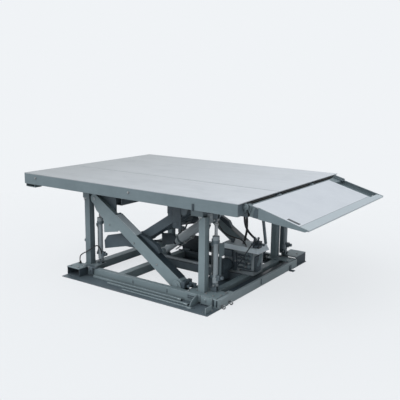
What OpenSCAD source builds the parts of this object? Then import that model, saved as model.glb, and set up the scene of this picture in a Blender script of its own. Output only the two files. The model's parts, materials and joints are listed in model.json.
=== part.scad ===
// Hydraulic dock lift: a wide deck on a half-scissor linkage, with a hinged
// lip at the front, four rest posts, four corner jacks and an anchored base.
// Origin: on the ground at the centre of the anchor holes. +X points to the lip.

/* [Deck] */
// Length of the deck, without the lip
deck_l = 3000; // [2800:10:3200]
// Width of the deck
deck_w = 2360; // [2300:10:2500]
// Height of the deck's top above the ground at rest
deck_h = 1200; // [1190:5:1300]
// Overhang of the deck behind the centre of the base
deck_back = 1620; // [1560:10:1700]
// Thickness of the deck plates
deck_t = 8; // [6:1:12]
// Height of the side channels, with the deck plate
fascia_h = 130; // [110:5:150]
// Thickness of the side channels and ribs
web_t = 8; // [6:1:10]
// Width of the side channels' lower flange
fascia_flange = 60; // [40:5:80]
// Width of the near deck plate, up to the seam
seam_y = 798; // [600:10:1000]
// Gap of the seam between the two deck plates
seam_gap = 3; // [2:0.5:5]
// Reach of the deck plates past the front beam
plate_nose = 14; // [0:2:20]
// Number of rib rows under the deck
rib_n = 7; // [5:1:9]
// Depth of the beam under the deck's back edge
rear_beam_d = 35; // [20:5:50]
// Width of the beam under the deck's back edge
rear_beam_w = 150; // [100:10:200]

/* [Lip] */
// Length of the lip from its hinge to its front edge
lip_l = 644; // [600:4:700]
// Width of the lip over its side cheeks
lip_w = 2086; // [2000:2:2120]
// Slope of the lip below level at rest, in degrees
lip_slope = 15.6; // [5:0.2:20]
// Height of the lip's top above its hinge axis
lip_top = 31; // [28:1:36]
// Height of the lip's side cheeks at the hinge box
cheek_h = 107; // [90:1:120]
// Height of the lip's side cheeks at the front edge
cheek_tip_h = 26; // [20:2:40]
// Thickness of the lip's cheeks and top plate
lip_t = 12; // [8:1:16]
// Length of the bevelled nose plate
nose_l = 91; // [60:1:110]
// Drop of the bevelled nose plate, in degrees
nose_drop = 2; // [1:1:8]
// Width of the low strip on the lip's far side
strip_w = 251; // [150:1:300]
// Depth of the low strip below the lip's top
strip_drop = 45; // [30:1:60]
// Diameter of the hinge pins of the lip
lip_pin_d = 30; // [20:2:32]
// Height of the lip's hinge axis below the deck's top
lip_pin_drop = 43; // [40:1:50]
// Distance of the lip's hinge axis in front of the deck's frame
lip_pin_reach = 24; // [24:1:40]

/* [Base] */
// Length of the base frame
base_l = 2090; // [2000:10:2200]
// Width of the base frame
base_w = 2320; // [2300:10:2400]
// Thickness of the sole plates
sole_t = 8; // [6:1:12]
// Width of the sole plates
sole_w = 400; // [390:5:440]
// Height of the base frame's channels and tubes
frame_h = 92; // [80:4:110]
// Thickness of the corner plates on the base
plate_t = 8; // [6:1:12]
// Distance from the side of the base to the long channels' outer face
channel_inset = 230; // [220:5:240]
// Width of the long channels' flanges
channel_flange = 60; // [40:5:65]
// Distance of the anchor holes from the ends of the base
anchor_end = 95; // [60:5:120]
// Distance of the anchor holes from the sides of the base
anchor_side = 60; // [40:5:80]
// Diameter of the anchor holes
anchor_d = 22; // [16:1:28]

/* [Posts] */
// Width of the square tube posts
post_w = 80; // [70:5:90]
// Wall of the square tubes
tube_t = 6; // [4:1:8]
// Distance from the arms' rollers to the back posts' middle
post_gap = 107; // [104:1:120]
// Distance from the middle of the base to the front posts
post_front = 758; // [740:5:790]
// Distance from the side of the base to the plane of posts and arms
post_inset = 348; // [340:1:355]
// Height of the rest blocks on the posts
head_h = 76; // [50:2:90]
// Length of the rest blocks on the back posts
head_back_l = 100; // [90:5:120]
// Length of the rest blocks on the front posts
head_front_l = 150; // [120:5:170]
// Depth of the deck's two long tubes
stringer_h = 192; // [150:5:210]

/* [Linkage] */
// Distance from the middle of the base to the arms' lower pivots
pivot_x = 430; // [410:5:450]
// Height of the arms' lower pivots
pivot_z = 115; // [110:1:125]
// Distance from an arm's lower pivot to its middle pivot
arm_half = 738; // [720:2:750]
// Thickness of the arms
arm_t = 56; // [48:2:60]
// Thickness of the arms' inner doublers
doubler_t = 54; // [40:2:60]
// Length of the arms' inner doublers from the lower pivot
doubler_l = 1130; // [1000:10:1135]
// Depth of the arms at the lower end
arm_deep = 150; // [130:5:160]
// Depth of the arms at the upper end
arm_slim = 112; // [100:4:130]
// Thickness of the links' outer plates
link_t = 50; // [40:2:54]
// Width of a link over its two plates
link_w = 222; // [180:2:240]
// Thickness of the links' inner plates
link_inner_t = 20; // [12:1:24]
// Depth of the links
link_d = 100; // [80:5:120]
// Diameter of the linkage's main pins
pin_d = 50; // [40:2:60]
// Diameter of the rollers at the arms' upper ends
roller_d = 116; // [100:4:124]
// Thickness of the rollers' tracks
track_t = 12; // [8:1:16]
// Thickness of the pivot lugs
lug_t = 12; // [8:1:16]
// Diameter of the cross tubes between the arms and between the links
cross_d = 60; // [50:5:70]
// Width of the head beam between the arms' upper ends
head_beam_w = 80; // [60:5:90]
// Height of the head beam between the arms' upper ends
head_beam_h = 108; // [90:4:112]

/* [Main ram] */
// Diameter of the ram's barrel
barrel_d = 119; // [100:1:124]
// Diameter of the ram's plunger
plunger_d = 94; // [80:2:96]
// Along the base, place of the plunger's eye
ram_low_x = -395; // [-400:5:-380]
// Height of the plunger's eye
ram_low_z = 172; // [165:1:180]
// Along the base, place of the barrel's eye
ram_top_x = 572; // [572:2:590]
// Height of the deck's long tubes above the barrel's eye
ram_drop = 99; // [90:1:110]
// Length of plunger that shows at rest, from its eye
ram_show = 312; // [290:2:340]
// Length of plunger inside the barrel at rest
ram_in = 400; // [300:10:500]
// Diameter of the ram's pins
ram_pin_d = 40; // [30:2:44]
// Width of the ram's eyes
ram_eye_w = 60; // [50:2:80]
// Radius of the ram's eyes
ram_eye_r = 42; // [38:1:46]

/* [Corner jacks] */
// Distance from a post's middle to its jack, along the base
jack_x = 104; // [100:2:120]
// Distance from the plane of the posts to their jacks, across the base
jack_y = 72; // [70:1:76]
// Diameter of the jacks' barrels
jack_d = 54; // [40:2:60]
// Diameter of the jacks' glands
gland_d = 76; // [60:2:78]
// Height of the jacks' glands
gland_h = 72; // [50:2:90]
// Diameter of the jacks' rods
rod_d = 34; // [24:2:40]
// Length of rod that shows on the front jacks at rest
rod_show = 178; // [150:2:220]
// Height of the back jacks' base pins
jack_low_z = 140; // [136:2:150]
// Height of the front jacks' base pins
jack_high_z = 176; // [170:2:190]
// Height of the deck's long tubes above the rods' eyes
rod_drop = 106; // [90:2:120]
// Diameter of the jacks' pins
jack_pin_d = 22; // [16:1:26]

/* [Power unit] */
// Along the base, place of the oil tank's back end
tank_x0 = 530; // [500:5:560]
// Length of the oil tank
tank_l = 400; // [360:10:420]
// Width of the oil tank
tank_w = 220; // [180:10:260]
// Height of the oil tank
tank_h = 277; // [240:1:300]
// Height of the lid on the oil tank
lid_h = 60; // [40:2:70]
// Diameter of the pump's motor
motor_d = 150; // [120:5:170]
// Length of the pump's motor
motor_l = 220; // [180:10:240]
// Diameter of the thick hoses
hose_d = 26; // [20:1:30]
// Diameter of the thin hose
thin_hose_d = 16; // [12:1:20]

/* [Clearances] */
// Radial gap of a pin in its bore
fit_gap = 0.05; // [0.02:0.01:0.1]
// Gap between pieces that rest on or slide past each other
rest_gap = 0.3; // [0.2:0.1:0.5]
// Side gap between an arm, a link and the lugs beside them
side_gap = 4; // [2:0.5:6]
// Radial gap at the pivots where the linkage is left free
free_gap = 7; // [6:0.5:9]

/* [Hidden] */

frame_top = sole_t + frame_h;
plate_top = frame_top + plate_t;
half_l = base_l/2;
half_w = base_w/2;
deck_x0 = -deck_back;
deck_x1 = deck_l - deck_back;
deck_y = deck_w/2;
plate_z = deck_h - deck_t;
stringer_z = plate_z - stringer_h;
fascia_z = deck_h - fascia_h;
head_z = stringer_z - rest_gap - head_h;
post_y = half_w - post_inset;
channel_y = half_w - channel_inset;
anchor_l = base_l - 2*anchor_end;
anchor_w = base_w - 2*anchor_side;

roller_gap = 3;
roller_z = stringer_z - track_t - roller_gap - roller_d/2;
arm_angle = asin((roller_z - pivot_z)/(2*arm_half));
roller_x = pivot_x - 2*arm_half*cos(arm_angle);
mid_x = pivot_x - arm_half*cos(arm_angle);
mid_z = pivot_z + arm_half*sin(arm_angle);
link_top_x = pivot_x;
link_top_z = roller_z;
arm_out = post_y + arm_t/2;
arm_in = post_y - arm_t/2;
doubler_in = arm_in - doubler_t;
link_out = doubler_in - 2*side_gap;
link_in = link_out - link_t;
link_core = link_out - link_w;
post_back = post_gap - roller_x;

ram_top_z = stringer_z - ram_drop;
ram_angle = atan2(ram_top_z - ram_low_z, ram_top_x - ram_low_x);
ram_len = norm([ram_top_x - ram_low_x, ram_top_z - ram_low_z]);

rod_eye_z = stringer_z - rod_drop;
jack_l = rod_eye_z - rod_show - jack_high_z;
jack_back_x = -post_back + jack_x;
jack_front_x = post_front + jack_x;
jack_near_y = -post_y + jack_y;
jack_far_y = post_y + jack_y;

lip_x = deck_x1 + lip_pin_reach;
lip_z = deck_h - lip_pin_drop;

steel = [0.42, 0.47, 0.49];
deep = [0.30, 0.34, 0.36];
pale = [0.70, 0.71, 0.72];
bright = [0.80, 0.80, 0.80];
dark = [0.14, 0.15, 0.16];

// Repeats its children on the near side or on the far side
module on_side(far) { mirror([0, far ? 1 : 0, 0]) children(); }
// Repeats its children on both sides of the base
module both_sides() { for (far = [false, true]) on_side(far) children(); }
// A box from its low corner to its high corner
module box(a, b) { translate(a) cube(b - a); }
// A round bar along Y from y0 to y1, at a place in the side view
module bar_y(x, z, d, y0, y1) {
    translate([x, y1, z]) rotate([90, 0, 0]) cylinder(d = d, h = y1 - y0, $fn = 64);
}
// A plate in the side view between two planes across the base
module plate_y(y0, y1) { translate([0, y1, 0]) rotate([90, 0, 0]) linear_extrude(y1 - y0) children(); }
// A plate in the front view between two planes along the base
module plate_x(x0, x1) { translate([x0, 0, 0]) rotate([90, 0, 90]) linear_extrude(x1 - x0) children(); }
// A square tube along Z with an open inside
module post_tube(x, z0, z1) {
    translate([x, -post_y, z0]) difference() {
        translate([-post_w/2, -post_w/2, 0]) cube([post_w, post_w, z1 - z0]);
        translate([tube_t - post_w/2, tube_t - post_w/2, -1])
            cube([post_w - 2*tube_t, post_w - 2*tube_t, z1 - z0 + 2]);
    }
}
// A rectangular tube along Y, open at both ends
module tube_y(x0, x1, y0, y1, z0, z1) {
    difference() {
        box([x0, y0, z0], [x1, y1, z1]);
        box([x0 + tube_t, y0 - 1, z0 + tube_t], [x1 - tube_t, y1 + 1, z1 - tube_t]);
    }
}

module soles() {
    color(steel) both_sides() difference() {
        box([-half_l, -half_w, 0], [half_l, -half_w + sole_w, sole_t]);
        for (x = [-anchor_l/2, anchor_l/2]) translate([x, -anchor_w/2, -1]) cylinder(d = anchor_d, h = sole_t + 2, $fn = 48);
    }
}

// A long channel, open towards the middle, between two places along the base
module long_channel(x0, x1) {
    color(steel) difference() {
        box([x0, -channel_y, sole_t], [x1, -channel_y + channel_flange, frame_top]);
        box([x0 - 1, -channel_y + web_t, sole_t + web_t], [x1 + 1, -channel_y + channel_flange + 1, frame_top - web_t]);
    }
}

// Edges that the base's pieces share
box_len = 200;
box_w = 195;
box_in = post_y + 63;
box_out = box_in + box_w;
back_bar_x = -post_back - post_w/2 - 5;
bar_w = 100;
back_box_x = -half_l;
front_box_x = half_l - box_len - 25;
front_box_top = frame_top + 30;
front_tube_w = 90;
front_tube_x = half_l - front_tube_w;
front_bar_x = post_front + post_w/2 - 2;
front_bar_w = 84;
middle_bar_x = -400;
middle_bar_w = 90;
flange_in = channel_y - channel_flange;
plate_in = post_y - 122;
near_end_x = post_front - 43;
rail_w = 40;
rail_y = -70;
second_rail_y = 345;

module long_channels() {
    long_channel(back_box_x + box_len, near_end_x);
    on_side(true) long_channel(back_bar_x + bar_w, front_box_x);
    // Set-back web of the near channel's front end
    color(steel) box([near_end_x, -flange_in, sole_t], [front_tube_x, -flange_in + web_t, frame_top]);
}
module crossbars() {
    color(steel) {
        tube_y(back_bar_x, back_bar_x + bar_w, -box_in, channel_y, sole_t, frame_top);
        tube_y(middle_bar_x, middle_bar_x + middle_bar_w, -flange_in, flange_in, sole_t, frame_top);
        tube_y(front_bar_x, front_bar_x + front_bar_w, -flange_in + web_t, flange_in, sole_t, frame_top);
    }
}
module front_tube() {
    color(steel) tube_y(front_tube_x, half_l, -channel_y, box_in, sole_t, frame_top);
}
// Two rails along the middle of the base, and the pipe that lies on the near one
module centre_rails() {
    color(deep) for (y = [rail_y, second_rail_y])
        box([middle_bar_x + middle_bar_w, y - rail_w/2, sole_t], [front_bar_x, y + rail_w/2, frame_top]);
}
module centre_pipe() {
    color(pale) translate([middle_bar_x, rail_y, frame_top + rail_w/2]) rotate([0, 90, 0])
        cylinder(d = rail_w, h = tank_x0 - middle_bar_x, $fn = 64);
}
module corner_boxes() {
    color(deep) tube_y(back_box_x, back_box_x + box_len, -box_out, -box_in, sole_t, frame_top);
    color(deep) {
        tube_y(front_box_x, front_box_x + box_len + 10, box_in, box_out, sole_t, front_box_top - plate_t);
        // End plate over the far front anchor hole
        box([front_box_x + box_len + 10 - plate_t, box_out, sole_t], [front_box_x + box_len + 10, half_w, front_box_top - plate_t]);
    }
}
gusset_reach = 145;
module corner_plates() {
    color(steel) {
        // Back near corner
        box([back_box_x - 5, -box_out, frame_top], [back_box_x + box_len, -box_in, plate_top]);
        box([back_bar_x - 5, -box_in, frame_top], [jack_back_x + 40, -plate_in, plate_top]);
        // Front near corner, with the round gusset that braces the sole plate
        box([post_front - 156, -channel_y, frame_top], [front_tube_x + 45, -plate_in, plate_top]);
        plate_x(near_end_x + 50, near_end_x + 50 + plate_t)
            polygon([[-flange_in, sole_t], [-flange_in, frame_top],
                     for (a = [90:15:180]) [-channel_y + gusset_reach*cos(a), sole_t + frame_h*sin(a)]]);
        box([half_l - 45, -half_w + 25, sole_t], [half_l - 45 + plate_t, -half_w + 140, sole_t + 62]);
        // Back far corner
        box([back_bar_x - 5, plate_in, frame_top], [jack_back_x + 40, channel_y, plate_top]);
        // Front far corner
        box([front_box_x, box_in, front_box_top - plate_t], [front_box_x + box_len + 10, half_w, front_box_top]);
        box([post_front - post_w/2 - 16, plate_in, frame_top], [front_box_x + box_len, box_in, plate_top]);
    }
}

// A standing lug with a round top, as a flat outline in the side view
module lug_outline(x, z, foot_z, foot_w, r) {
    union() {
        translate([x, z]) circle(r = r, $fn = 64);
        polygon([[x - foot_w/2, foot_z], [x + foot_w/2, foot_z], [x + r, z], [x - r, z]]);
    }
}
pivot_lug_r = 56;
module pivot_brackets() {
    color(deep) {
        both_sides() {
            for (y = [arm_out + side_gap, doubler_in - side_gap - lug_t])
                plate_y(-y - lug_t, -y) lug_outline(pivot_x, pivot_z, sole_t, 3.4*pivot_lug_r, pivot_lug_r);
            bar_y(pivot_x, pivot_z, pin_d, -(arm_out + side_gap + lug_t + 8), -(doubler_in - side_gap - lug_t - 8));
        }
        // Clevis of the main ram on the middle crossbar
        for (side = [-1, 1]) {
            y0 = side*(ram_eye_w/2 + 1 + lug_t/2) - lug_t/2;
            plate_y(y0, y0 + lug_t) union() {
                translate([ram_low_x, ram_low_z]) circle(r = ram_eye_r - 4, $fn = 64);
                polygon([[middle_bar_x, frame_top], [middle_bar_x + middle_bar_w, frame_top],
                         [ram_low_x + ram_eye_r - 4, ram_low_z], [ram_low_x - ram_eye_r + 4, ram_low_z]]);
            }
        }
        bar_y(ram_low_x, ram_low_z, ram_pin_d, -ram_eye_w/2 - lug_t - 6, ram_eye_w/2 + lug_t + 6);
    }
}

// Feet and pins that carry the corner jacks
jack_eye_w = 36;
jack_eye_r = 26;
module jack_lugs(x, y, z, edge_z, foot_w) {
    for (s = [-1, 1]) {
        y0 = y + s*(jack_eye_w/2 + 1 + 5) - 5;
        plate_y(y0, y0 + 10) lug_outline(x, z, edge_z, foot_w, jack_eye_r - 2);
    }
    bar_y(x, z, jack_pin_d, y - jack_eye_w/2 - 14, y + jack_eye_w/2 + 14);
}
module jack_feet() {
    color(deep) for (y = [jack_near_y, jack_far_y]) {
        jack_lugs(jack_back_x, y, jack_low_z, plate_top, 70);
        jack_lugs(jack_front_x, y, jack_high_z, y > 0 ? front_box_top : plate_top, 70);
    }
}

module back_posts() { color(steel) both_sides() post_tube(-post_back, plate_top, head_z); }
module front_posts() { color(steel) both_sides() post_tube(post_front, plate_top, head_z); }
module post_heads() {
    color(steel) both_sides() {
        box([-post_back + post_w/2 - head_back_l, -post_y - post_w/2 - 5, head_z],
            [-post_back + post_w/2, -post_y + post_w/2 + 5, head_z + head_h]);
        box([post_front + post_w/2 - 30 - head_front_l, -post_y - post_w/2 - 5, head_z],
            [post_front + post_w/2 - 30, -post_y + post_w/2 + 5, head_z + head_h]);
    }
}

// A corner jack's barrel with its eye, its lower block and its gland
jack_block_h = 60;
module jack_barrel(x, y, z) {
    translate([x, y, z]) difference() {
        union() {
            translate([0, jack_eye_w/2, 0]) rotate([90, 0, 0]) cylinder(r = jack_eye_r, h = jack_eye_w, $fn = 64);
            translate([-14, -jack_eye_w/2, 0]) cube([28, jack_eye_w, jack_eye_r + 6]);
            translate([0, 0, jack_eye_r + 4]) cylinder(d = jack_d + 12, h = jack_block_h, $fn = 64);
            translate([0, 0, jack_eye_r + 4]) cylinder(d = jack_d, h = jack_l - jack_eye_r - 4, $fn = 64);
            translate([0, 0, jack_l - gland_h]) cylinder(d = gland_d, h = gland_h, $fn = 64);
        }
        translate([0, 50, 0]) rotate([90, 0, 0]) cylinder(d = jack_pin_d + 2*fit_gap, h = 100, $fn = 64);
        translate([0, 0, jack_eye_r + jack_block_h]) cylinder(d = rod_d + 2*fit_gap, h = jack_l, $fn = 64);
    }
}
module jack_barrels() {
    color(deep) for (y = [jack_near_y, jack_far_y]) {
        jack_barrel(jack_back_x, y, jack_low_z);
        jack_barrel(jack_front_x, y, jack_high_z);
    }
}

// Oil tank with its lid, pump motor and valve block inside the front half of the base
tank_x1 = tank_x0 + tank_l;
tank_y0 = -40;
tank_top = frame_top + tank_h;
lid_top = tank_top + lid_h;
lid_edge = 20;
module oil_tank() {
    color(deep) difference() {
        box([tank_x0, tank_y0, frame_top], [tank_x1, tank_y0 + tank_w, tank_top]);
        box([tank_x0 + 4, tank_y0 + 4, frame_top + 4], [tank_x1 - 4, tank_y0 + tank_w - 4, tank_top - 4]);
    }
}
// Lid with a sloped front end
module tank_lid() {
    color(pale) plate_y(tank_y0 - lid_edge, tank_y0 + tank_w + lid_edge)
        polygon([[tank_x0 - lid_edge, tank_top], [tank_x0 - lid_edge, lid_top], [tank_x1 + 30, lid_top],
                 [tank_x1 + 70, tank_top]]);
}
module pump_motor() {
    color(dark) translate([tank_x0 + 70, tank_y0 - motor_l, frame_top + motor_d/2 + 20]) rotate([-90, 0, 0]) {
        cylinder(d = motor_d, h = motor_l - 40, $fn = 64);
        translate([0, 0, motor_l - 40]) cylinder(d = motor_d - 50, h = 40, $fn = 64);
    }
    color(dark) box([tank_x0 + 20, tank_y0 - motor_l + 30, sole_t + 40], [tank_x0 + 120, tank_y0 - motor_l + 130, frame_top + 40]);
}
valve_l = 80;
valve_h = 75;
valve_x = tank_x1 - 20;
module valve_block() {
    color(dark) box([valve_x, -valve_l/2, lid_top], [valve_x + valve_l, valve_l/2, lid_top + valve_h]);
}

// Flat outline of an arm in the side view, from its lower pivot to its roller
arm_u = [-cos(arm_angle), sin(arm_angle)];
arm_n = [sin(arm_angle), cos(arm_angle)];
arm_low = [pivot_x, pivot_z];
arm_top = [roller_x, roller_z];
// The rounded upper end is ground a millimetre proud of the edges
tip_d = arm_slim + 2;
module arm_outline() {
    union() {
        translate(arm_low) circle(d = arm_deep, $fn = 64);
        translate(arm_top) circle(d = tip_d, $fn = 64);
        polygon([arm_low + arm_n*arm_deep/2, arm_low - arm_n*arm_deep/2,
                 arm_top - arm_n*arm_slim/2, arm_top + arm_n*arm_slim/2]);
    }
}
// A place beside an arm: along it from its lower pivot, and above its middle line
function on_arm(along, above) = arm_low + arm_u*along + arm_n*above;
arm_l = 2*arm_half;
// Distance from an arm's middle line to its edge, at a share of its length
function arm_edge(share) = arm_deep/2 - (arm_deep - arm_slim)/2*share;
// Step between an arm's plate and its doubler, where the weld runs
weld_edge = 4;
doubler_d = 2*(arm_edge(doubler_l/arm_l) - weld_edge);
doubler_deep = arm_deep - 2*weld_edge;
tube_high = on_arm(0.689*arm_l, -329);
head_beam = on_arm(0.814*arm_l, 186);
fork_w = 36;
axle_d = 30;
gusset_t = 12;
// Room that the lower gusset leaves around the middle pin
hub_clear = 80;
module arm() {
    difference() {
        union() {
            plate_y(-arm_out, -arm_in) arm_outline();
            plate_y(-arm_in, -doubler_in) union() {
                translate(arm_low) circle(d = doubler_deep, $fn = 64);
                polygon([on_arm(0, doubler_deep/2), on_arm(0, -doubler_deep/2),
                         on_arm(doubler_l, -doubler_d/2), on_arm(doubler_l, doubler_d/2)]);
            }
            // Outer gusset under the upper end
            plate_y(-arm_out, -arm_out + gusset_t)
                polygon([on_arm(arm_l - 16, 0), on_arm(arm_l - 16, -arm_slim/2 + 4), on_arm(0.936*arm_l, -96),
                         on_arm(0.83*arm_l, -113), on_arm(0.768*arm_l, -238), on_arm(0.663*arm_l, -89),
                         on_arm(0.663*arm_l, 0)]);
            // Middle pin that carries the link
            bar_y(mid_x, mid_z, pin_d, -doubler_in - 1, -link_core + 8);
            bar_y(mid_x, mid_z, 2.4*pin_d, -doubler_in - 1, -link_out - rest_gap);
        }
        bar_y(pivot_x, pivot_z, pin_d + 2*fit_gap, -arm_out - 1, -doubler_in + 1);
        bar_y(roller_x, roller_z, roller_d + 14, -post_y - fork_w/2, -post_y + fork_w/2);
        bar_y(roller_x, roller_z, axle_d, -arm_out - 1, -arm_in + 1);
    }
}
module arm_near() { color(steel) arm(); }
module arm_far() { color(steel) on_side(true) arm(); }
module arm_gussets() {
    color(dark) both_sides() {
        // Head gusset beside the roller, which carries the head beam
        plate_y(-arm_in, -arm_in + gusset_t)
            polygon([on_arm(arm_l, 56), on_arm(0.853*arm_l, 212), on_arm(0.773*arm_l, 32),
                     on_arm(0.778*arm_l, -56), on_arm(0.968*arm_l, -49)]);
        // Lower gusset, which carries the upper cross tube
        plate_y(-doubler_in, -doubler_in + gusset_t)
            polygon([on_arm(0.776*arm_l, -414), on_arm(0.772*arm_l, -321), on_arm(0.689*arm_l, -185),
                     on_arm(0.604*arm_l, -30), on_arm(0.555*arm_l, -30), on_arm(0.538*arm_l, -hub_clear),
                     on_arm(0.48*arm_l, -hub_clear), on_arm(0.491*arm_l, -150),
                     on_arm(0.577*arm_l, -238), on_arm(0.734*arm_l, -490)]);
        // Raised plate over the middle pivot
        plate_y(-arm_in, -doubler_in)
            polygon([on_arm(0.52*arm_l, arm_edge(0.52) - weld_edge), on_arm(0.432*arm_l, 110), on_arm(0.323*arm_l, 132),
                     on_arm(0.271*arm_l, 93), on_arm(0.28*arm_l, arm_edge(0.28) - weld_edge)]);
    }
}
module arm_cross_tubes() {
    color(deep) {
        bar_y(tube_high[0], tube_high[1], cross_d, -doubler_in + gusset_t, doubler_in - gusset_t);
        tube_y(head_beam[0] - head_beam_w/2, head_beam[0] + head_beam_w/2, -arm_in + gusset_t, arm_in - gusset_t,
               head_beam[1] - head_beam_h/2, head_beam[1] + head_beam_h/2);
    }
}
module rollers() {
    color(dark) both_sides() {
        bar_y(roller_x, roller_z, roller_d, -post_y - fork_w/2 + 1, -post_y + fork_w/2 - 1);
        bar_y(roller_x, roller_z, axle_d, -arm_out, -arm_in);
    }
}

// A link from an arm's middle pin up to the deck
link_n = [-sin(arm_angle), cos(arm_angle)];
link_low = [mid_x, mid_z];
link_top = [link_top_x, link_top_z];
function on_link(share) = link_low + (link_top - link_low)*share;
module link_plate(y0, y1) {
    plate_y(y0, y1) difference() {
        union() {
            translate(link_low) circle(d = link_d + 14, $fn = 64);
            translate(link_top) circle(d = link_d + 14, $fn = 64);
            polygon([link_low + link_n*link_d/2, link_low - link_n*link_d/2,
                     link_top - link_n*link_d/2, link_top + link_n*link_d/2]);
        }
        translate(link_low) circle(d = pin_d + 2*fit_gap, $fn = 64);
        translate(link_top) circle(d = pin_d + 2*free_gap, $fn = 64);
    }
}
module links() {
    color(deep) both_sides() {
        link_plate(-link_out, -link_in);
        link_plate(-link_core - link_inner_t, -link_core);
        for (share = [0.22, 0.62])
            bar_y(on_link(share)[0], on_link(share)[1], cross_d, -link_in, -link_core - link_inner_t);
    }
}
module link_tube() { color(deep) bar_y(on_link(0.85)[0], on_link(0.85)[1], cross_d, -link_core, link_core); }

// Places its children along the ram at rest, with X along the ram from its lower eye
module on_ram() {
    translate([ram_low_x, 0, ram_low_z]) rotate([0, -ram_angle, 0]) children();
}
// An eye of the ram with the flat neck behind it, the neck going to a place along the ram
ram_neck = ram_eye_r + 22;
module ram_eye(x, neck_x) {
    translate([x, ram_eye_w/2, 0]) rotate([90, 0, 0]) cylinder(r = ram_eye_r, h = ram_eye_w, $fn = 64);
    translate([min(x, neck_x), -ram_eye_w/2, -ram_eye_r + 6]) cube([abs(x - neck_x), ram_eye_w, 2*ram_eye_r - 12]);
}
module plunger() {
    color(bright) difference() {
        on_ram() union() {
            ram_eye(0, ram_neck + 4);
            translate([ram_neck, 0, 0]) rotate([0, 90, 0]) cylinder(d = plunger_d, h = ram_show + ram_in - ram_neck, $fn = 64);
        }
        bar_y(ram_low_x, ram_low_z, ram_pin_d + 2*free_gap, -ram_eye_w, ram_eye_w);
    }
}
module ram_barrel() {
    color(deep) difference() {
        on_ram() union() {
            translate([ram_show, 0, 0]) rotate([0, 90, 0]) cylinder(d = barrel_d, h = ram_len - ram_show - ram_neck, $fn = 64);
            ram_eye(ram_len, ram_len - ram_neck - 4);
        }
        on_ram() translate([ram_show - 1, 0, 0]) rotate([0, 90, 0])
            cylinder(d = plunger_d + 2*fit_gap, h = ram_len - ram_show - ram_neck - 30, $fn = 64);
        bar_y(ram_top_x, ram_top_z, ram_pin_d + 2*fit_gap, -ram_eye_w, ram_eye_w);
    }
}

// Deck
rib_z = fascia_z + web_t;
plate_split = -deck_y + seam_y;
module near_deck_plate() {
    color(pale) box([deck_x0, -deck_y, plate_z], [deck_x1 + plate_nose, plate_split - seam_gap/2, deck_h]);
}
module far_deck_plate() {
    color(pale) box([deck_x0, plate_split + seam_gap/2, plate_z], [deck_x1 + plate_nose, deck_y, deck_h]);
}
module fascia() {
    union() {
        box([deck_x0, -deck_y, fascia_z], [deck_x1, -deck_y + web_t, plate_z]);
        box([deck_x0 + fascia_flange, -deck_y, fascia_z], [deck_x1, -deck_y + fascia_flange, rib_z]);
    }
}
module fascias() { color(steel) both_sides() fascia(); }
front_beam_w = 80;
front_beam_x = deck_x1 - front_beam_w;
rear_beam_x = deck_x0 + 15;
inner_x0 = rear_beam_x + rear_beam_w;
module stringers() {
    color(deep) both_sides() {
        difference() {
            box([inner_x0, -post_y - post_w/2, stringer_z], [front_beam_x, -post_y + post_w/2, plate_z]);
            box([inner_x0 - 1, -post_y - post_w/2 + tube_t, stringer_z + tube_t],
                [front_beam_x + 1, -post_y + post_w/2 - tube_t, plate_z - tube_t]);
        }
        // Track that the arm's roller bears on
        box([roller_x - 50, -post_y - 22, stringer_z - track_t], [roller_x + 300, -post_y + 22, stringer_z]);
    }
}
rib_out = post_y + post_w/2;
rib_in = post_y - post_w/2;
module deck_ribs() {
    color(deep) for (i = [0:rib_n - 1]) {
        x = inner_x0 + (i + 1)*(front_beam_x - inner_x0)/(rib_n + 1);
        both_sides() box([x, -deck_y + web_t, rib_z], [x + web_t, -rib_out, plate_z]);
        if (abs(x - ram_top_x) > 90) box([x, -rib_in, rib_z], [x + web_t, rib_in, plate_z]);
    }
}
module rear_beam() {
    color(steel) {
        box([deck_x0, -deck_y + web_t, fascia_z], [deck_x0 + web_t, deck_y - web_t, plate_z]);
        box([deck_x0, -deck_y + web_t, fascia_z], [deck_x0 + fascia_flange, deck_y - web_t, rib_z]);
        tube_y(rear_beam_x, inner_x0, -deck_y + web_t, deck_y - web_t, fascia_z - rear_beam_d, fascia_z);
    }
}
module front_beam() {
    color(deep) difference() {
        box([front_beam_x, -deck_y + web_t, rib_z], [deck_x1, deck_y - web_t, plate_z]);
        box([front_beam_x + tube_t, -deck_y, rib_z + tube_t], [deck_x1 - tube_t, deck_y, plate_z - tube_t]);
    }
}

// Lugs under the deck that carry the links' upper pins
link_play = 2;
link_lug_r = 52;
link_foot_w = 3.3*link_lug_r;
module link_lugs() {
    color(deep) both_sides() {
        for (y = [link_out + link_play, link_in - link_play - lug_t, link_core - link_play - lug_t])
            plate_y(-y - lug_t, -y) mirror([0, 1]) lug_outline(link_top_x, -link_top_z, -stringer_z, link_foot_w, link_lug_r);
        box([link_top_x - link_foot_w/2, -rib_in, stringer_z],
            [link_top_x + link_foot_w/2, -link_core + link_play + lug_t, stringer_z + lug_t]);
        bar_y(link_top_x, link_top_z, pin_d, -link_out - link_play - lug_t, -link_core + link_play + lug_t);
    }
}
// Cross beam under the deck with the lugs of the ram's upper pin and the shelf that the hoses hang from
ram_beam_w = 110;
shelf_z = rib_z - 18;
shelf_y = -40;
module ram_lugs() {
    color(deep) {
        tube_y(ram_top_x - ram_beam_w/2, ram_top_x + ram_beam_w/2, -rib_in, rib_in, stringer_z, plate_z);
        for (side = [-1, 1]) {
            y0 = side*(ram_eye_w/2 + 1 + lug_t/2) - lug_t/2;
            plate_y(y0, y0 + lug_t) mirror([0, 1])
                lug_outline(ram_top_x, -ram_top_z, -stringer_z, ram_beam_w, ram_eye_r);
        }
        bar_y(ram_top_x, ram_top_z, ram_pin_d, -ram_eye_w/2 - lug_t, ram_eye_w/2 + lug_t);
        box([ram_top_x + ram_beam_w/2, shelf_y, shelf_z], [hose_x + 45, shelf_y + 130, shelf_z + lug_t]);
    }
}

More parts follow.
